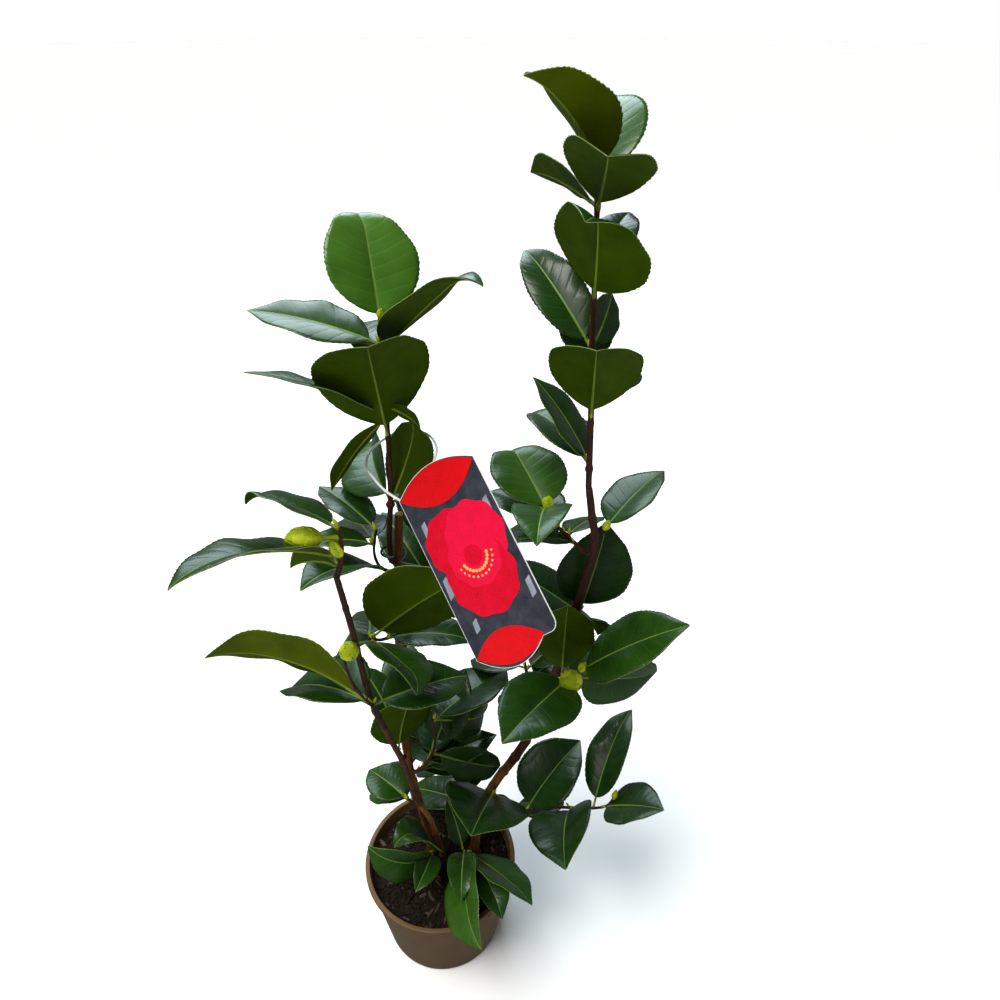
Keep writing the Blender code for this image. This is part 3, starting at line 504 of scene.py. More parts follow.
def leaf_behind(draw):
    """A row drawn for the far side of a shoot."""
    return (draw.uniform(.05, 1), 90 + draw.uniform(-BEHIND_SPREAD, BEHIND_SPREAD),
            draw.uniform(*BEHIND_RISE), draw.uniform(*BEHIND_LENGTH), 0, draw.choice(BEHIND_HABITS))


def grow():
    """Every shoot's line and leaf rows: its table, then its seeded leaves behind, where clear."""
    limbs = np.vstack([smooth(route, FINE_STEPS) for route, _, _ in STEMS.values()])
    lines = {name: shoot_line(shoot) for name, shoot in SHOOTS.items()}
    taken = [smooth(STRAP), tie_line()]
    for name, (_, _, _, _, leaves, _) in SHOOTS.items():
        taken.append(lines[name])
        taken += [leaf_samples(leaf_foot(lines[name], row), row, PETIOLE) for row in leaves]
    rows = {}
    for name, (_, _, (wanted, seed), _, leaves, _) in SHOOTS.items():
        rows[name] = list(leaves)
        draw = random.Random(seed)
        for _ in range(wanted * TRIES):
            row = leaf_behind(draw)
            foot = leaf_foot(lines[name], row)
            samples, whole = leaf_samples(foot, row), leaf_samples(foot, row, STALK_FROM)
            others = [line for other, line in lines.items() if other != name]
            clear = (nearest(samples, np.vstack(taken)) > LEAF_ROOM
                     and nearest(samples, limbs) > LIMB_ROOM
                     and nearest(whole, limbs) > PETIOLE_ROOM
                     and nearest(whole, np.vstack(others)) > LEAF_ROOM
                     and samples[:, 2].min() > SOIL_LEVEL + LEAF_ROOM)
            if clear and len(rows[name]) < len(leaves) + wanted:
                rows[name].append(row)
                taken.append(samples)
    return lines, rows


# ---- gathering shapes into meshes; points are in mm until a mesh is made ----

def add_object(name, data):
    """An object of this mesh, lamp or camera in the scene."""
    obj = bpy.data.objects.new(name, data)
    bpy.context.scene.collection.objects.link(obj)
    return obj


def mesh_of(name, points, edges, faces):
    """A mesh in metres of points in millimetres."""
    mesh = bpy.data.meshes.new(name)
    mesh.from_pydata((np.asarray(points) * MM).tolist(), edges, faces)
    return mesh


def around(count):
    """Angles spread evenly round a circle."""
    return np.linspace(0, 2 * pi, count + 1)[:-1]


def frames_along(line):
    """Two directions across a line at each point, that turn as little as they can."""
    way = unit(np.gradient(line, axis=0))
    side = np.cross(way[0], [.31, .95, .05])
    sides = []
    for w in way:
        side = unit(side - w * side.dot(w))
        sides.append(side)
    return np.array(sides), np.cross(way, sides)


def evenly(line, step):
    """The line drawn again with points a step apart, its run at each, and their shares of its length."""
    run = run_of(line)
    shares = np.linspace(0, 1, max(3, int(run[-1] / step)))
    return read_at(shares * run[-1], run, line), run, shares


class Gather:
    """Points and faces collected for one mesh, each face with the number of its look."""

    def __init__(self):
        self.points, self.faces, self.looks, self.total = [], [], [], 0

    def grid(self, points, look, wrap=False, caps=False):
        """A sheet of faces over rows of points; wrap joins each row's ends and caps fills both ends."""
        rows, columns = points.shape[:2]
        index = self.total + np.arange(rows * columns).reshape(rows, columns)
        here, there = (index, np.roll(index, -1, axis=1)) if wrap else (index[:, :-1], index[:, 1:])
        quads = np.stack([here[:-1], there[:-1], there[1:], here[1:]], axis=-1)
        looks = np.broadcast_to(look, quads.shape[:2])
        self.looks += looks.ravel().tolist()
        self.faces += quads.reshape(-1, 4).tolist()
        if caps:
            self.faces += [index[0][::-1].tolist(), index[-1].tolist()]
            self.looks += looks[[0, -1], 0].tolist()
        self.points.append(points.reshape(-1, 3))
        self.total += rows * columns

    def tube(self, line, radii, sides, look):
        """A closed tube round a line; its radii are one number, or one a point, or one a side and point."""
        right, up = frames_along(line)
        turns = around(sides)
        radii = np.broadcast_to(np.asarray(radii, float), (sides, len(line))).T
        points = (line[:, None] + right[:, None] * (radii * np.cos(turns))[..., None]
                  + up[:, None] * (radii * np.sin(turns))[..., None])
        self.grid(points, look, wrap=True, caps=True)

    def solid(self, points, faces, look):
        """A small body given by its own points and faces."""
        self.faces += [[self.total + k for k in face] for face in faces]
        self.looks += [look] * len(faces)
        self.points.append(np.asarray(points, float))
        self.total += len(points)

    def mesh(self, name):
        """A mesh of everything gathered."""
        return mesh_of(name, np.vstack(self.points), [], self.faces)

    def piece(self, name, materials, slot, replaced, smooth_faces=True):
        """The finished mesh as a piece that rides on the frame and stands for its CAD nodes."""
        mesh = self.mesh(name)
        for material in materials:
            mesh.materials.append(material)
        mesh.polygons.foreach_set("material_index", np.array(self.looks, np.int32))
        mesh.polygons.foreach_set("use_smooth", np.full(len(self.faces), smooth_faces))
        mesh.validate()
        mesh.update()
        obj = add_object(name, mesh)
        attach(obj, "root")
        if replaced:
            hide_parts(*replaced)
        return obj


# ---- materials ----

def shader_of(name):
    """A new material, its node tree and its shader."""
    material = bpy.data.materials.new(name)
    material.use_nodes = True
    return material, material.node_tree, material.node_tree.nodes["Principled BSDF"]


def set_inputs(node, values):
    """Values for a node's inputs, by their names."""
    for name, value in values.items():
        node.inputs[name].default_value = value


def add_node(tree, kind, values=None, links=None):
    """A node of a kind with its values set, and its inputs linked to what feeds them."""
    node = tree.nodes.new("ShaderNode" + kind)
    set_inputs(node, values or {})
    for name, source in (links or {}).items():
        tree.links.new(source, node.inputs[name])
    return node


def noise_fac(tree, scale, detail, stretch=None):
    """A noise pattern in the object's own metres, drawn out along its Z where stretch is given."""
    place = add_node(tree, "TexCoord").outputs["Object"]
    if stretch:
        drawn = add_node(tree, "Mapping", {"Scale": (1, 1, 1 / stretch)}, {"Vector": place})
        place = drawn.outputs["Vector"]
    pattern = add_node(tree, "TexNoise", {"Scale": scale, "Detail": detail}, {"Vector": place})
    return pattern.outputs["Fac"]


def spread(tree, source, low, high):
    """A pattern's middle stretch mapped onto low to high."""
    ends = {"From Min": PATTERN_MIDDLE[0], "From Max": PATTERN_MIDDLE[1], "To Min": low, "To Max": high}
    return add_node(tree, "MapRange", ends, {"Value": source}).outputs["Result"]


def cell_edges(tree, scale):
    """The distance to the edges of a net of small cells."""
    place = add_node(tree, "TexCoord").outputs["Object"]
    net = add_node(tree, "TexVoronoi", {"Scale": scale}, {"Vector": place})
    net.feature = "DISTANCE_TO_EDGE"
    return net.outputs["Distance"]


def finish_look(name, colour, other, roughness, scale, bump=0.0, grain=900.0, stretch=None, specular=.5,
                coat=0.0, cells=False):
    """A look with two mottled colours, uneven roughness and a fine relief of grain or of cells."""
    material, tree, shader = shader_of(name)
    set_inputs(shader, {"Base Color": (*colour, 1), "Roughness": sum(roughness) / 2,
                        "Specular IOR Level": specular, "Coat Weight": coat,
                        "Coat Roughness": COAT_ROUGHNESS})
    mix = add_node(tree, "Mix")
    mix.data_type = "RGBA"
    set_inputs(mix, {"A": (*colour, 1), "B": (*other, 1)})
    mottle = spread(tree, noise_fac(tree, scale, 5.0, stretch), 0.0, 1.0)
    tree.links.new(mottle, mix.inputs["Factor"])
    tree.links.new(mix.outputs["Result"], shader.inputs["Base Color"])
    fine = noise_fac(tree, grain, 3.0, stretch)
    tree.links.new(spread(tree, fine, *roughness), shader.inputs["Roughness"])
    if bump:
        height = cell_edges(tree, grain / 2) if cells else fine
        relief = add_node(tree, "Bump", {"Strength": bump, "Distance": RELIEF}, {"Height": height})
        tree.links.new(relief.outputs["Normal"], shader.inputs["Normal"])
    return material


def listed_looks(*names):
    """Looks from the table."""
    return [finish_look(name, *LOOKS[name]) for name in names]


def leaf_looks():
    """The looks of a leaf's parts, by the numbers that leaf_shape gives its faces."""
    uppers, veins = [], []
    for name, colours in UPPER_GREENS.items():
        uppers.append(finish_look(f"leaf_upper_{name}", *colours, (.24, .36), 60, .15, 1500, specular=.25,
                                  coat=.14, cells=True))
        vein = [[times * part + more for part in colours[1]] for times, more in VEIN_TINTS]
        veins.append(finish_look(f"leaf_vein_{name}", *vein, (.34, .46), 90, specular=.3))
    # the pale under look paints the glow of light shining through the leaf
    unders = [finish_look(f"leaf_under_{name}", *colours, (.50, .64), 60, .2, 1500, specular=.03,
                          cells=True) for name, colours in UNDER_GREENS.items()]
    return uppers + veins + unders + listed_looks("leaf_rib_upper", "leaf_rib_under", "leaf_margin_and_glow")


# ---- leaves ----

def blade_rows():
    """Shares of a blade's length for its rows; the relief, the tooth and the vein flag of each."""
    step = (VEINS_TO - VEINS_FROM) / VEINS
    marks = [(0, 0, 0, 0), (.012, 0, 0, 0), (.03, .3, 0, 0)]
    for k in range(VEINS):
        vein = VEINS_FROM + k * step
        marks += [(vein - VEIN_HALF, -.6, 0, 1), (vein, -1, -1, 1), (vein + VEIN_HALF, -.6, 0, 0)]
        for j in range(2 * TEETH):
            share = (j + 1) / (2 * TEETH + 1)
            marks.append((vein + step * share, sin(pi * share), 1 - 2 * (j % 2), 0))
    marks += [(VEINS_TO, -.2, 0, 0), (.95, 0, .6, 0), (.975, 0, -.4, 0), (.99, 0, 0, 0), (1, 0, 0, 0)]
    return np.array(marks).T


BLADE_ROWS = blade_rows()
BLADE_SIDE = np.r_[-np.ones(len(ACROSS)), 0, np.ones(len(ACROSS))]  # the hand of each column
BLADE_ACROSS = np.r_[ACROSS[::-1], 0, ACROSS]


def blade_faces(green, under):
    """The looks of a blade's faces: row by row round its upper side, an edge, its under side, an edge."""
    centre, strips, vein = len(ACROSS), len(BLADE_SIDE) - 1, BLADE_ROWS[3]
    look = np.full((len(vein) - 1, 2 * len(BLADE_SIDE)), UNDER + under)
    look[:, :strips] = UPPER + green
    look[vein[:-1] > 0, 1:strips - 1] = VEIN + green
    look[:, centre - 1:centre + 1] = RIB_UPPER_LOOK
    look[:, strips + centre:strips + centre + 2] = RIB_UNDER_LOOK
    # the edge faces take the margin look, partly their own pale colour and partly a painted glow of light
    # through the thin edge
    look[:, [strips, -1]] = MARGIN_GLOW_LOOK
    return look


def leaf_shape(gather, foot, row, green, under, seed):
    """One leaf: a blade with a sunk midrib, side veins and a toothed edge, then its petiole."""
    draw = random.Random(seed)
    length, fold = row[3], radians(HABITS[row[5]][1])
    along_blade, relief, tooth, _ = [column[:, None] for column in BLADE_ROWS]
    u = along_blade + VEIN_SWEEP * BLADE_ACROSS ** 1.2 * (along_blade * (1 - along_blade))
    middle, right, ups, half, _ = leaf_line(foot, row, (PETIOLE + (1 - PETIOLE) * u).ravel())
    middle, ups = middle.reshape(*u.shape, 3), ups.reshape(*u.shape, 3)
    half = half.reshape(u.shape) * (1 - .3 * np.clip((u - .8) / .2, 0, 1))
    taper = 1 - .8 * along_blade
    rib = np.minimum(RIB_HALF * taper, .35 * np.maximum(half, .2))
    out = np.abs(BLADE_SIDE) * (rib + np.maximum(half - rib, .1) * BLADE_ACROSS)
    out[:, [0, -1]] += TOOTH * tooth * (half[:, [0, -1]] > 1.5)
    lift = out * sin(fold) + PILLOW * half * 4 * BLADE_ACROSS * (1 - BLADE_ACROSS)
    lift += VEIN_DIP * relief * (1 - BLADE_ACROSS ** 3) * np.minimum(1, half / 8) * (BLADE_ACROSS > 0)
    for hand in (-1, 1):
        waves, start = draw.uniform(*EDGE_WAVES), draw.uniform(0, 6.3)
        wave = np.sin(2 * pi * waves * u + start) * EDGE_WAVE * length * BLADE_ACROSS ** 2
        lift += np.where(BLADE_SIDE == hand, wave * np.sin(pi * np.clip(u, 0, 1)), 0)
    sheet = middle + right * (BLADE_SIDE * out * cos(fold))[..., None] + ups * lift[..., None]
    thick = BLADE_THICK + (EDGE_THICK - BLADE_THICK) * BLADE_ACROSS ** 2 + np.zeros_like(u)
    top, below = sheet + ups * (thick / 2)[..., None], sheet - ups * (thick / 2)[..., None]
    centre = len(ACROSS)
    top[:, centre] -= ups[:, centre] * (RIB_SUNK * taper)
    below[:, centre] -= ups[:, centre] * (RIB_DEEP * taper)
    gather.grid(np.concatenate([top, below[:, ::-1]], axis=1), blade_faces(green, under), wrap=True,
                caps=True)
    points = len(PETIOLE_SWELL)
    stalk, _, ups, _, _ = leaf_line(foot, row, np.linspace(0, PETIOLE + .06, points))
    stalk = stalk - ups * np.linspace(0, .5, points)[:, None]
    gather.tube(stalk, PETIOLE_RADIUS * PETIOLE_SWELL, 8, RIB_UNDER_LOOK)


# ---- stems, twigs and buds ----

def limb_shape(gather, line, radii, looks_at, knots, relief, step, sides):
    """A limb with bark relief: fine lengthwise fissures, and a swollen ring at each knot."""
    spots, run, shares = evenly(line, step)
    length = shares * run[-1]
    thick = np.interp(length, run, radii)
    for knot in knots:
        thick = thick * (1 + KNOT_SWELL * np.exp(-((shares - knot) * run[-1] / KNOT_HALF) ** 2))
    seed = float(np.sum(line[0]))

    def rough(turn, height):
        """Broad and fine fissures at an angle and a height of the limb."""
        c, s = cos(turn), sin(turn)
        return (noise.noise((seed + 1.6 * c, 1.6 * s, height * .05))
                + .6 * noise.noise((seed + 3.5 * c, 3.5 * s, height * .22)))

    bark = np.array([[rough(turn, height) for height in length] for turn in around(sides)])
    look = np.array([looks_at(share) for share in shares[:-1]])[:, None]
    gather.tube(spots, thick * (1 + relief * bark), sides, look)


def scale_shell(gather, base, axes, profile, reach, turn, spread_angle, look):
    """One bud scale: a curved, pointed shell hugging the bud from reach[0] to reach[1] of its length."""
    forward, side, up, length, radius = axes
    fullness_at, fullness = zip(*profile)
    top, bottom = [], []
    for v in np.linspace(0, 1, SCALE_GRID):
        share = reach[0] + (reach[1] - reach[0]) * v
        full = np.interp(share, fullness_at, fullness)
        wide = spread_angle * (1 - v ** 3) ** .5
        for w in np.linspace(-1, 1, SCALE_GRID):
            angle = turn + wide * w
            out = side * cos(angle) + up * sin(angle)
            away = radius * full + SCALE_CLEAR + SCALE_RIDGE * (1 - abs(w)) + SCALE_FLARE * radius * v
            spot = base + forward * length * share + out * away
            top.append(spot)
            bottom.append(spot - out * SCALE_THICK)
    top, bottom = [np.array(side).reshape(SCALE_GRID, SCALE_GRID, 3) for side in (top, bottom)]
    gather.grid(np.concatenate([top, bottom[:, ::-1]], axis=1), look, wrap=True, caps=True)


def bud_shape(gather, foot, row, scales=True):
    """A bud clad in overlapping scales, the tiers laid from its tip down."""
    _, bearing, rise, length, width, form = row
    stalk, profile = BUD_FORMS[form]
    forward, side, up = leaf_axes(bearing, rise, 0)
    spots = np.array([foot + forward * length * share for share, _ in profile])
    gather.tube(spots, [width / 2 * BUD_INSIDE * fullness for _, fullness in profile], 16, 0)
    if not scales:
        return
    axes = forward, side, up, length, width / 2
    for tier, (start, end, count, wide) in enumerate(BUD_TIERS):
        reach = stalk + (1 - stalk) * start, stalk + (1 - stalk) * end
        for k in range(count):
            turn = 2 * pi * (k + .5 * (tier % 2) + .1 * tier) / count
            scale_shell(gather, foot, axes, profile, reach, turn, wide, tier % 2)


def build_stems():
    """Bark meshes for the three stems, the old wood lower down and the young wood above."""
    looks = listed_looks("bark_old", "bark_middle", "bark_young", "cut_wood")
    knots = [k / 14 + .02 * sin(5 * k) for k in range(3, 14)]
    for name in STEMS:
        gather = Gather()
        line, radii = stem_shape(name)
        changes = WOOD_CHANGES[name]
        limb_shape(gather, line, radii, lambda share: sum(share > change for change in changes), knots,
                   *STEM_BARK)
        gather.looks[-1] = 3  # the cap at the tip is cut wood
        gather.piece(name + "_bark", looks, "bark", [name])


def twig_shape(gather, radius, line, knots):
    """A shoot's bare twig, its foot carried into the stem it grows from."""
    foot = line[0] - unit(line[1] - line[0]) * (CLEAR + LIMB_SUNK)
    line = smooth(np.vstack([[foot], line]), 3)
    limb_shape(gather, line, np.linspace(radius, radius * SHOOT_TAPER, len(line)), lambda share: 0, knots,
               *TWIG_BARK)


def build_shoots():
    """Twigs, leaves and buds of every shoot; the leaves are joined by region of the crown."""
    lines, rows = grow()
    greens = leaf_looks()
    twigs, buds = Gather(), Gather()
    for region, names in REGIONS.items():
        leaves = Gather()
        for name in names:
            (_, radius, _, _, _, bud_rows), line = SHOOTS[name], lines[name]
            twig_shape(twigs, radius, line, [row[0] for row in rows[name]])
            for i, row in enumerate(rows[name]):
                if (name, i) in OPEN:
                    continue
                row = TURNED.get((name, i), row)
                foot = leaf_foot(line, row)
                green = LEAF_GREEN.get((name, i), SHOOT_GREEN.get(name, 0))
                leaf_shape(leaves, foot, row, green, LEAF_UNDER.get((name, i), 0), f"{name}{i}")
                out = leaf_axes(row[1], AXIL_RISE, 0)[0]
                bud_shape(buds, foot + out * radius / 2, (0, row[1], AXIL_RISE, *AXIL_BUD), scales=False)
            for row in bud_rows:
                bud_shape(buds, leaf_foot(line, row), row)
        leaves.piece(f"leaves_{region}", greens, "foliage", names)
    twigs.piece("twigs", listed_looks("twig_young"), "bark", [])
    buds.piece("buds", listed_looks("bud_scale", "bud_scale_light"), "foliage", [])


# ---- pot and compost ----

def wall_radius(z):
    """The pot's outer wall at a height, without its lip."""
    return POT_FOOT_RADIUS + (POT_RIM_RADIUS - LIP_STANDS - POT_FOOT_RADIUS) * z / LIP_FOOT


def arc(x, z, radius, start, end, count):
    """Points of an arc of the pot's profile round a centre, between two angles."""
    return [(x + radius * cos(a), z + radius * sin(a)) for a in np.linspace(start, end, count)]


def pot_profile():
    """The pot's profile, radius and height, from the middle of its floor over the lip to the underside."""
    quarter, bore = pi / 2, wall_radius(LIP_FOOT) - POT_WALL
    inner = arc(bore + BORE_ROLL, POT_HEIGHT - BORE_ROLL, BORE_ROLL, 2 * quarter, quarter, 5)
    rolled = arc(POT_RIM_RADIUS - LIP_ROLL, POT_HEIGHT - LIP_ROLL, LIP_ROLL, quarter, 0, 6)
    under_lip = [(POT_RIM_RADIUS - inward, LIP_FOOT + up) for inward, up in LIP_UNDERSIDE]
    fillet = [(wall_radius(LIP_FOOT) + out, LIP_FOOT - down) for out, down in LIP_FILLET]
    outer = [(wall_radius(z) + RING_DEPTH * sin(z * RING_TURN), z)
             for z in np.linspace(LIP_FOOT - 2, 4, 44)]
    foot = arc(POT_FOOT_RADIUS - FOOT_ROLL, FOOT_ROLL, FOOT_ROLL, -.1, -quarter, 7)
    hollow = POT_FOOT_RADIUS - FOOT_RING
    return ([(0, FOOT_THICKNESS), (wall_radius(FOOT_THICKNESS) - POT_WALL, FOOT_THICKNESS)] + inner + rolled
            + under_lip + fillet + outer + foot + [(hollow, 0), (hollow - 1, FOOT_HOLLOW), (0, FOOT_HOLLOW)])


def drain_cutter():
    """Posts that cut the drain holes through the pot's floor."""
    posts = Gather()
    for k in range(DRAIN_HOLES):
        angle = 2 * pi * k / DRAIN_HOLES
        middle = np.array([DRAIN_HOLE_RING * cos(angle), DRAIN_HOLE_RING * sin(angle), 0])
        ends = middle + [[0, 0, -5], [0, 0, 0], [0, 0, FOOT_THICKNESS + 5]]
        posts.tube(ends, DRAIN_HOLE_RADIUS, HOLE_SIDES, 0)
    return add_object("drain_cutter", posts.mesh("drain_cutter"))


def build_pot():
    """The pot turned again with rolled edges, faint moulding rings and its drain holes."""
    profile = pot_profile()
    pot = add_object("pot_wall", mesh_of("pot_wall", [(r, 0, z) for r, z in profile],
                                         [(i, i + 1) for i in range(len(profile) - 1)], []))
    screw = pot.modifiers.new("Turn", "SCREW")
    screw.steps = screw.render_steps = POT_TURNS
    screw.use_merge_vertices = True
    screw.merge_threshold = 1e-6
    cutter = drain_cutter()
    cut = pot.modifiers.new("Drain", "BOOLEAN")
    cut.operation, cut.solver, cut.object = "DIFFERENCE", "EXACT", cutter
    graph = bpy.context.evaluated_depsgraph_get()
    finished = bpy.data.meshes.new_from_object(pot.evaluated_get(graph))
    pot.modifiers.clear()
    pot.data = finished
    bpy.data.objects.remove(cutter)
    finished.shade_smooth()
    finished.set_sharp_from_angle(angle=radians(SHARP_ANGLE))
    finished.materials.clear()
    finished.materials.append(listed_looks("pot_plastic")[0])
    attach(pot, "root")
    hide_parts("pot")


def crumb(draw, edge):
    """The points and the look of one crumb or bark chip, a bent block strewn on the compost."""
    reach, turn = edge * sqrt(draw.random()) * CRUMB_REACH, draw.uniform(0, 2 * pi)
    size = draw.choice(CRUMB_SIZES) * draw.uniform(*CRUMB_SCALE)
    stretch = draw.uniform(*CHIP_STRETCH) if size > CHIP_FROM else 1
    look = draw.choices(CRUMB_LOOKS, CRUMB_SHARES)[0]
    spin, tilt = draw.uniform(0, 6.3), draw.uniform(-.4, .4)
    height = SOIL_LEVEL - CRUMB_SUNK - COMPOST_EDGE * (reach / edge) ** 3
    middle = np.array([reach * cos(turn), reach * sin(turn), height])
    a = np.array([cos(spin), sin(spin), tilt]) * size * stretch
    b = np.array([-sin(spin), cos(spin), -tilt]) * size * draw.uniform(*CRUMB_WIDE)
    c = np.array([0, 0, 1]) * size * draw.uniform(*CRUMB_TALL)
    jog = lambda: draw.uniform(*CRUMB_JOG)
    return [middle + a * jog() * u + b * jog() * v + c * w for u, v, w in CRUMB_CORNERS], look


def build_compost():
    """The compost's rough top with crumbs and bark chips strewn on it, and its sides in the pot."""
    draw = random.Random(SOIL_SEED)
    inside = lambda z: wall_radius(z) - POT_WALL - COMPOST_GAP
    edge = inside(SOIL_LEVEL)
    radii = np.linspace(.2, edge, COMPOST_RINGS)[:, None]
    turns = around(COMPOST_TURNS)
    x, y = radii * np.cos(turns), radii * np.sin(turns)
    lumps = np.array([[noise.fractal((a * .11, b * .11, 3.0), .7, 2.1, 5) for a, b in zip(*pair)]
                      for pair in zip(x, y)])
    z = SOIL_LEVEL - COMPOST_SINK + COMPOST_LUMPS * lumps - COMPOST_EDGE * (radii / edge) ** 3
    top = np.stack([x, y, np.minimum(z, SOIL_LEVEL + COMPOST_TOP)], -1)
    floor = FOOT_THICKNESS + CLEAR
    side = [np.stack([r * np.cos(turns), r * np.sin(turns), np.full(COMPOST_TURNS, h)], -1)
            for r, h in ((inside(SOIL_LEVEL - 3), SOIL_LEVEL - 3.2), (inside(floor), floor))]
    ground = Gather()
    ground.grid(top, 0, wrap=True, caps=True)
    ground.grid(np.stack([top[-1], *side]), 0, wrap=True, caps=True)
    for _ in range(CRUMBS):
        points, look = crumb(draw, edge)
        ground.solid(points, CRUMB_FACES, look)
    looks = listed_looks("compost_dark", "compost_crumb", "bark_chip", "pale_crumb")
    ground.piece("compost", looks, "compost", ["soil"], smooth_faces=False)


# ---- label card, strap and tie ----

def card_outline(inset=0.0):
    """The card's outline, anticlockwise from its lower left, drawn in by an inset."""
    w, h = LABEL_SIZE[0] / 2, LABEL_SIZE[1] / 2
    shoulder = h - LABEL_SHOULDER

    def bow(x0, y0, x1, y1, bulge):
        """A bowed edge between two corners."""
        return [(x0 + (x1 - x0) * t, y0 + (y1 - y0) * t - copysign(bulge, x1 - x0) * 4 * t * (1 - t))
                for t in np.linspace(0, 1, 25)]

    corner = [(w - LABEL_CORNER * (1 - sin(a)), -h + LABEL_CORNER * (1 - cos(a)))
              for a in np.linspace(0, pi / 2, 9)[1:]]
    outline = np.array(bow(-w, -shoulder, LABEL_FOOT_END, -h, LABEL_FOOT_BULGE) + corner
                       + bow(w, shoulder, -w, shoulder, LABEL_TOP_BULGE))
    way = unit(np.roll(outline, -1, axis=0) - np.roll(outline, 1, axis=0))
    return outline + np.stack([-way[:, 1], way[:, 0]], 1) * inset


def lens(left, right, upper, lower):
    """A lens between two corners, bowed up and down, anticlockwise."""
    t = np.linspace(0, 1, 25)[:, None]
    left, right = np.array(left, float), np.array(right, float)
    chord = left + (right - left) * t
    bulge = np.array([0, 1.0]) * 4 * t * (1 - t)
    return np.vstack([(chord - bulge * lower), (chord + bulge * upper)[::-1][1:-1]])


def disc(x, y, across, tall, steps, ripple=0.0, waves=0):
    """An oval outline, with a rippled edge where ripple is given."""
    turn = around(steps)
    reach = 1 + ripple * np.cos(waves * turn)
    return np.stack([x + across * reach * np.cos(turn), y + tall * reach * np.sin(turn)], 1)


def build_card():
    """A plain coloured card: pale rim, dark ground, two red lenses and a pattern of discs and dots."""
    turn = np.array(Euler([radians(a) for a in LABEL_TURN]).to_matrix())
    spot, face = np.array(LABEL_PLACE, float), LABEL_THICKNESS / 2
    card = Gather()

    def plate(outline, layer, look, lift=0):
        """A flat plate of the card's stack, its upper side raised by a lift."""
        low, high = CARD_LAYERS[layer]
        flat = [np.column_stack([outline, np.full(len(outline), z)]) @ turn.T + spot
                for z in (face + low, face + high + lift)]
        n = len(outline)
        faces = [tuple(range(n))[::-1], tuple(range(n, 2 * n))]
        faces += [(k, (k + 1) % n, n + (k + 1) % n, n + k) for k in range(n)]
        card.solid(np.vstack(flat), faces, look)

    plate(card_outline(), "body", WHITE)
    plate(card_outline(CARD_RIM), "ground", SLATE)
    for k, (x, y, tall) in enumerate(CARD_BARS):
        bar = np.array([(x + across, y + hand * tall + up) for across, hand, up in CARD_BAR])
        plate(bar, "bar", GREY, BAR_LIFT * k)
    for k, (x, y, across, tall, look) in enumerate(CARD_DISCS):
        plate(disc(x, y, across, tall, 72, DISC_RIPPLE, DISC_LOBES), "disc", look, DISC_LIFT * k)
    for k in range(CARD_DOTS):
        angle = radians(DOT_ARC[0] + DOT_ARC[1] * k / (CARD_DOTS - 1))
        for ring, size in DOT_RINGS:
            x, y = DOT_CENTRE[0] + ring * cos(angle), DOT_CENTRE[1] + ring * sin(angle)
            plate(disc(x, y, size, size, 14), "dot", YELLOW)
    w, h = LABEL_SIZE[0] / 2, LABEL_SIZE[1] / 2
    plate(lens((-w + 1, h - 3), (w - 1, h - 3), LABEL_TOP_BULGE + .4, 15), "lens", RED)
    plate(lens((-w + 1, -h + 3), (LABEL_FOOT_END + 2, -h + 1.6), 13, LABEL_FOOT_BULGE - 1), "lens", RED)
    looks = [finish_look(name, *colours, (.24, .34), 120, .04, 900, specular=.12, coat=.02)
             for name, colours in CARD_LOOKS.items()]
    card.piece("card", looks, "label_card", ["label"], smooth_faces=False)


def build_strap():
    """The white plastic loop that hangs the card."""
    strap = Gather()
    strap.tube(evenly(smooth(STRAP, 12), step=1.5)[0], STRAP_RADIUS, CORD_SIDES, 0)
    strap.piece("strap", listed_looks("strap_white"), "strap", ["label_strap"])


def build_tie():
    """A dark twist of wire round the centre stem."""
    tie = Gather()
    tie.tube(evenly(smooth(tie_line(), 6), step=1.0)[0], TIE_RADIUS, CORD_SIDES, 0)
    tie.piece("tie_wire", listed_looks("tie_dark"), "tie_wire", ["tie"])


# ---- stage, light and camera ----

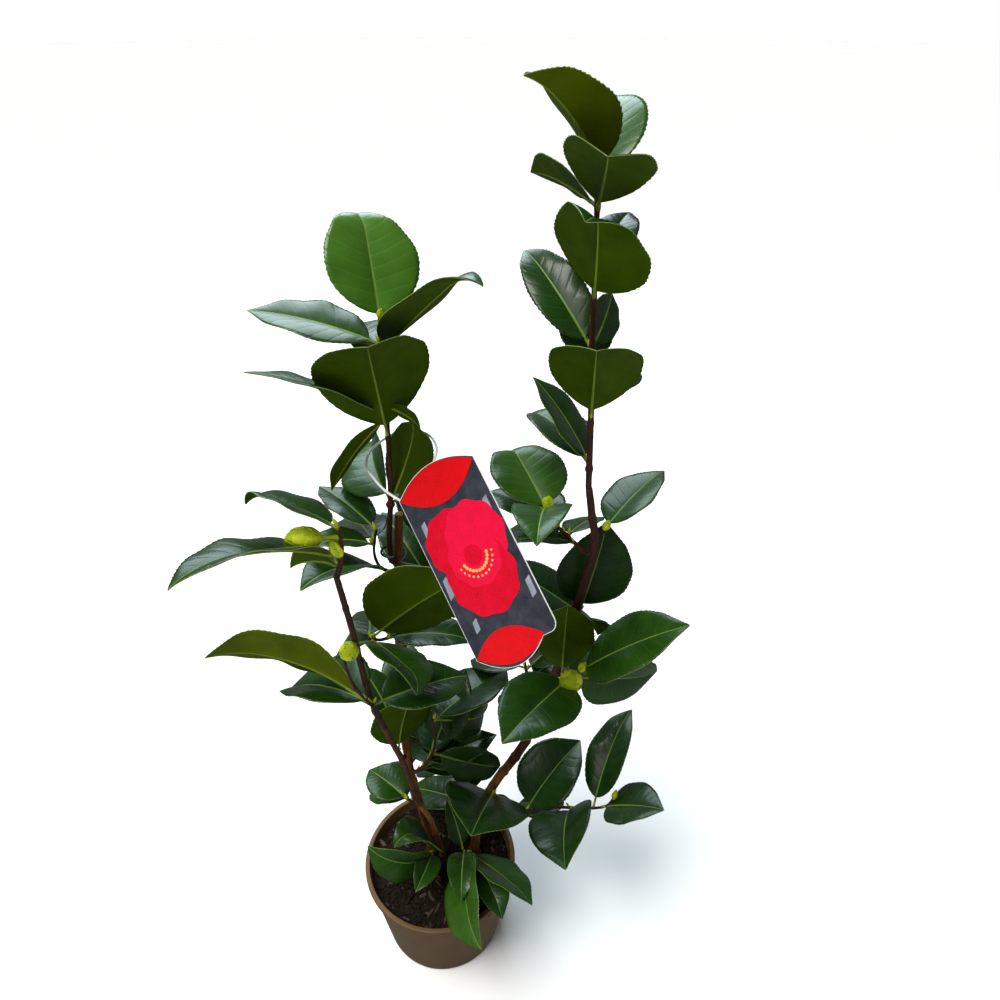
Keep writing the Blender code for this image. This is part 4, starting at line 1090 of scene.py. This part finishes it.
def build_stage():
    """A pale floor, and a white backdrop all round that only the camera sees."""
    size = DOME_RADIUS + 1
    mesh = bpy.data.meshes.new("floor")
    mesh.from_pydata([(-size, -size, 0), (size, -size, 0), (size, size, 0), (-size, size, 0)], [],
                     [(0, 1, 2, 3)])
    mesh.materials.append(listed_looks("floor_pale")[0])
    floor = add_object("floor", mesh)
    floor.visible_glossy = False
    mesh = bpy.data.meshes.new("dome")
    shell = bmesh.new()
    bmesh.ops.create_uvsphere(shell, u_segments=48, v_segments=24, radius=DOME_RADIUS)
    shell.to_mesh(mesh)
    shell.free()
    white, _, glow = shader_of("dome_white")
    set_inputs(glow, {"Base Color": (0, 0, 0, 1), "Specular IOR Level": 0,
                      "Emission Color": (1, 1, 1, 1), "Emission Strength": 1.0})
    mesh.materials.append(white)
    dome = add_object("dome", mesh)
    dome.visible_diffuse = dome.visible_glossy = dome.visible_shadow = False
    dome.visible_transmission = False


def add_lamp(name, kind, power, colour, way):
    """A lamp turned to shine along a direction, and unseen by the camera."""
    lamp = bpy.data.lights.new(name, kind)
    lamp.energy, lamp.color = power, colour
    obj = add_object(name, lamp)
    obj.rotation_euler = Vector(way).to_track_quat("-Z", "Y").to_euler()
    obj.visible_camera = False
    return obj


def build_lights():
    """A pale sky, one wide soft sun, and soft boxes in front and behind."""
    world = bpy.data.worlds.new("studio")
    world.use_nodes = True
    sky = world.node_tree.nodes["Background"]
    set_inputs(sky, {"Color": (*WORLD_COLOUR, 1), "Strength": WORLD_STRENGTH})
    bpy.context.scene.world = world
    sun = add_lamp("sun", "SUN", SUN_STRENGTH, SUN_COLOUR, -Vector(SUN_FROM))
    sun.data.angle = radians(SUN_WIDTH)
    for name, power, width, spot, aim, colour in BOXES:
        box = add_lamp(name, "AREA", power, colour, Vector(aim) - Vector(spot))
        box.data.size = width
        box.location = spot


def build_camera():
    """The camera that matches the photograph."""
    camera = bpy.data.cameras.new("camera")
    camera.lens, camera.sensor_width = CAMERA_LENS, CAMERA_SENSOR
    camera.clip_start, camera.clip_end = CAMERA_CLIP
    obj = add_object("camera", camera)
    obj.location = CAMERA_PLACE
    obj.rotation_euler = (radians(90 - CAMERA_PITCH), 0, 0)
    bpy.context.scene.camera = obj
    bpy.context.scene.view_settings.view_transform = "Standard"


build_stage()
build_lights()
build_camera()
build_pot()
build_compost()
build_stems()
build_shoots()
build_card()
build_strap()
build_tie()
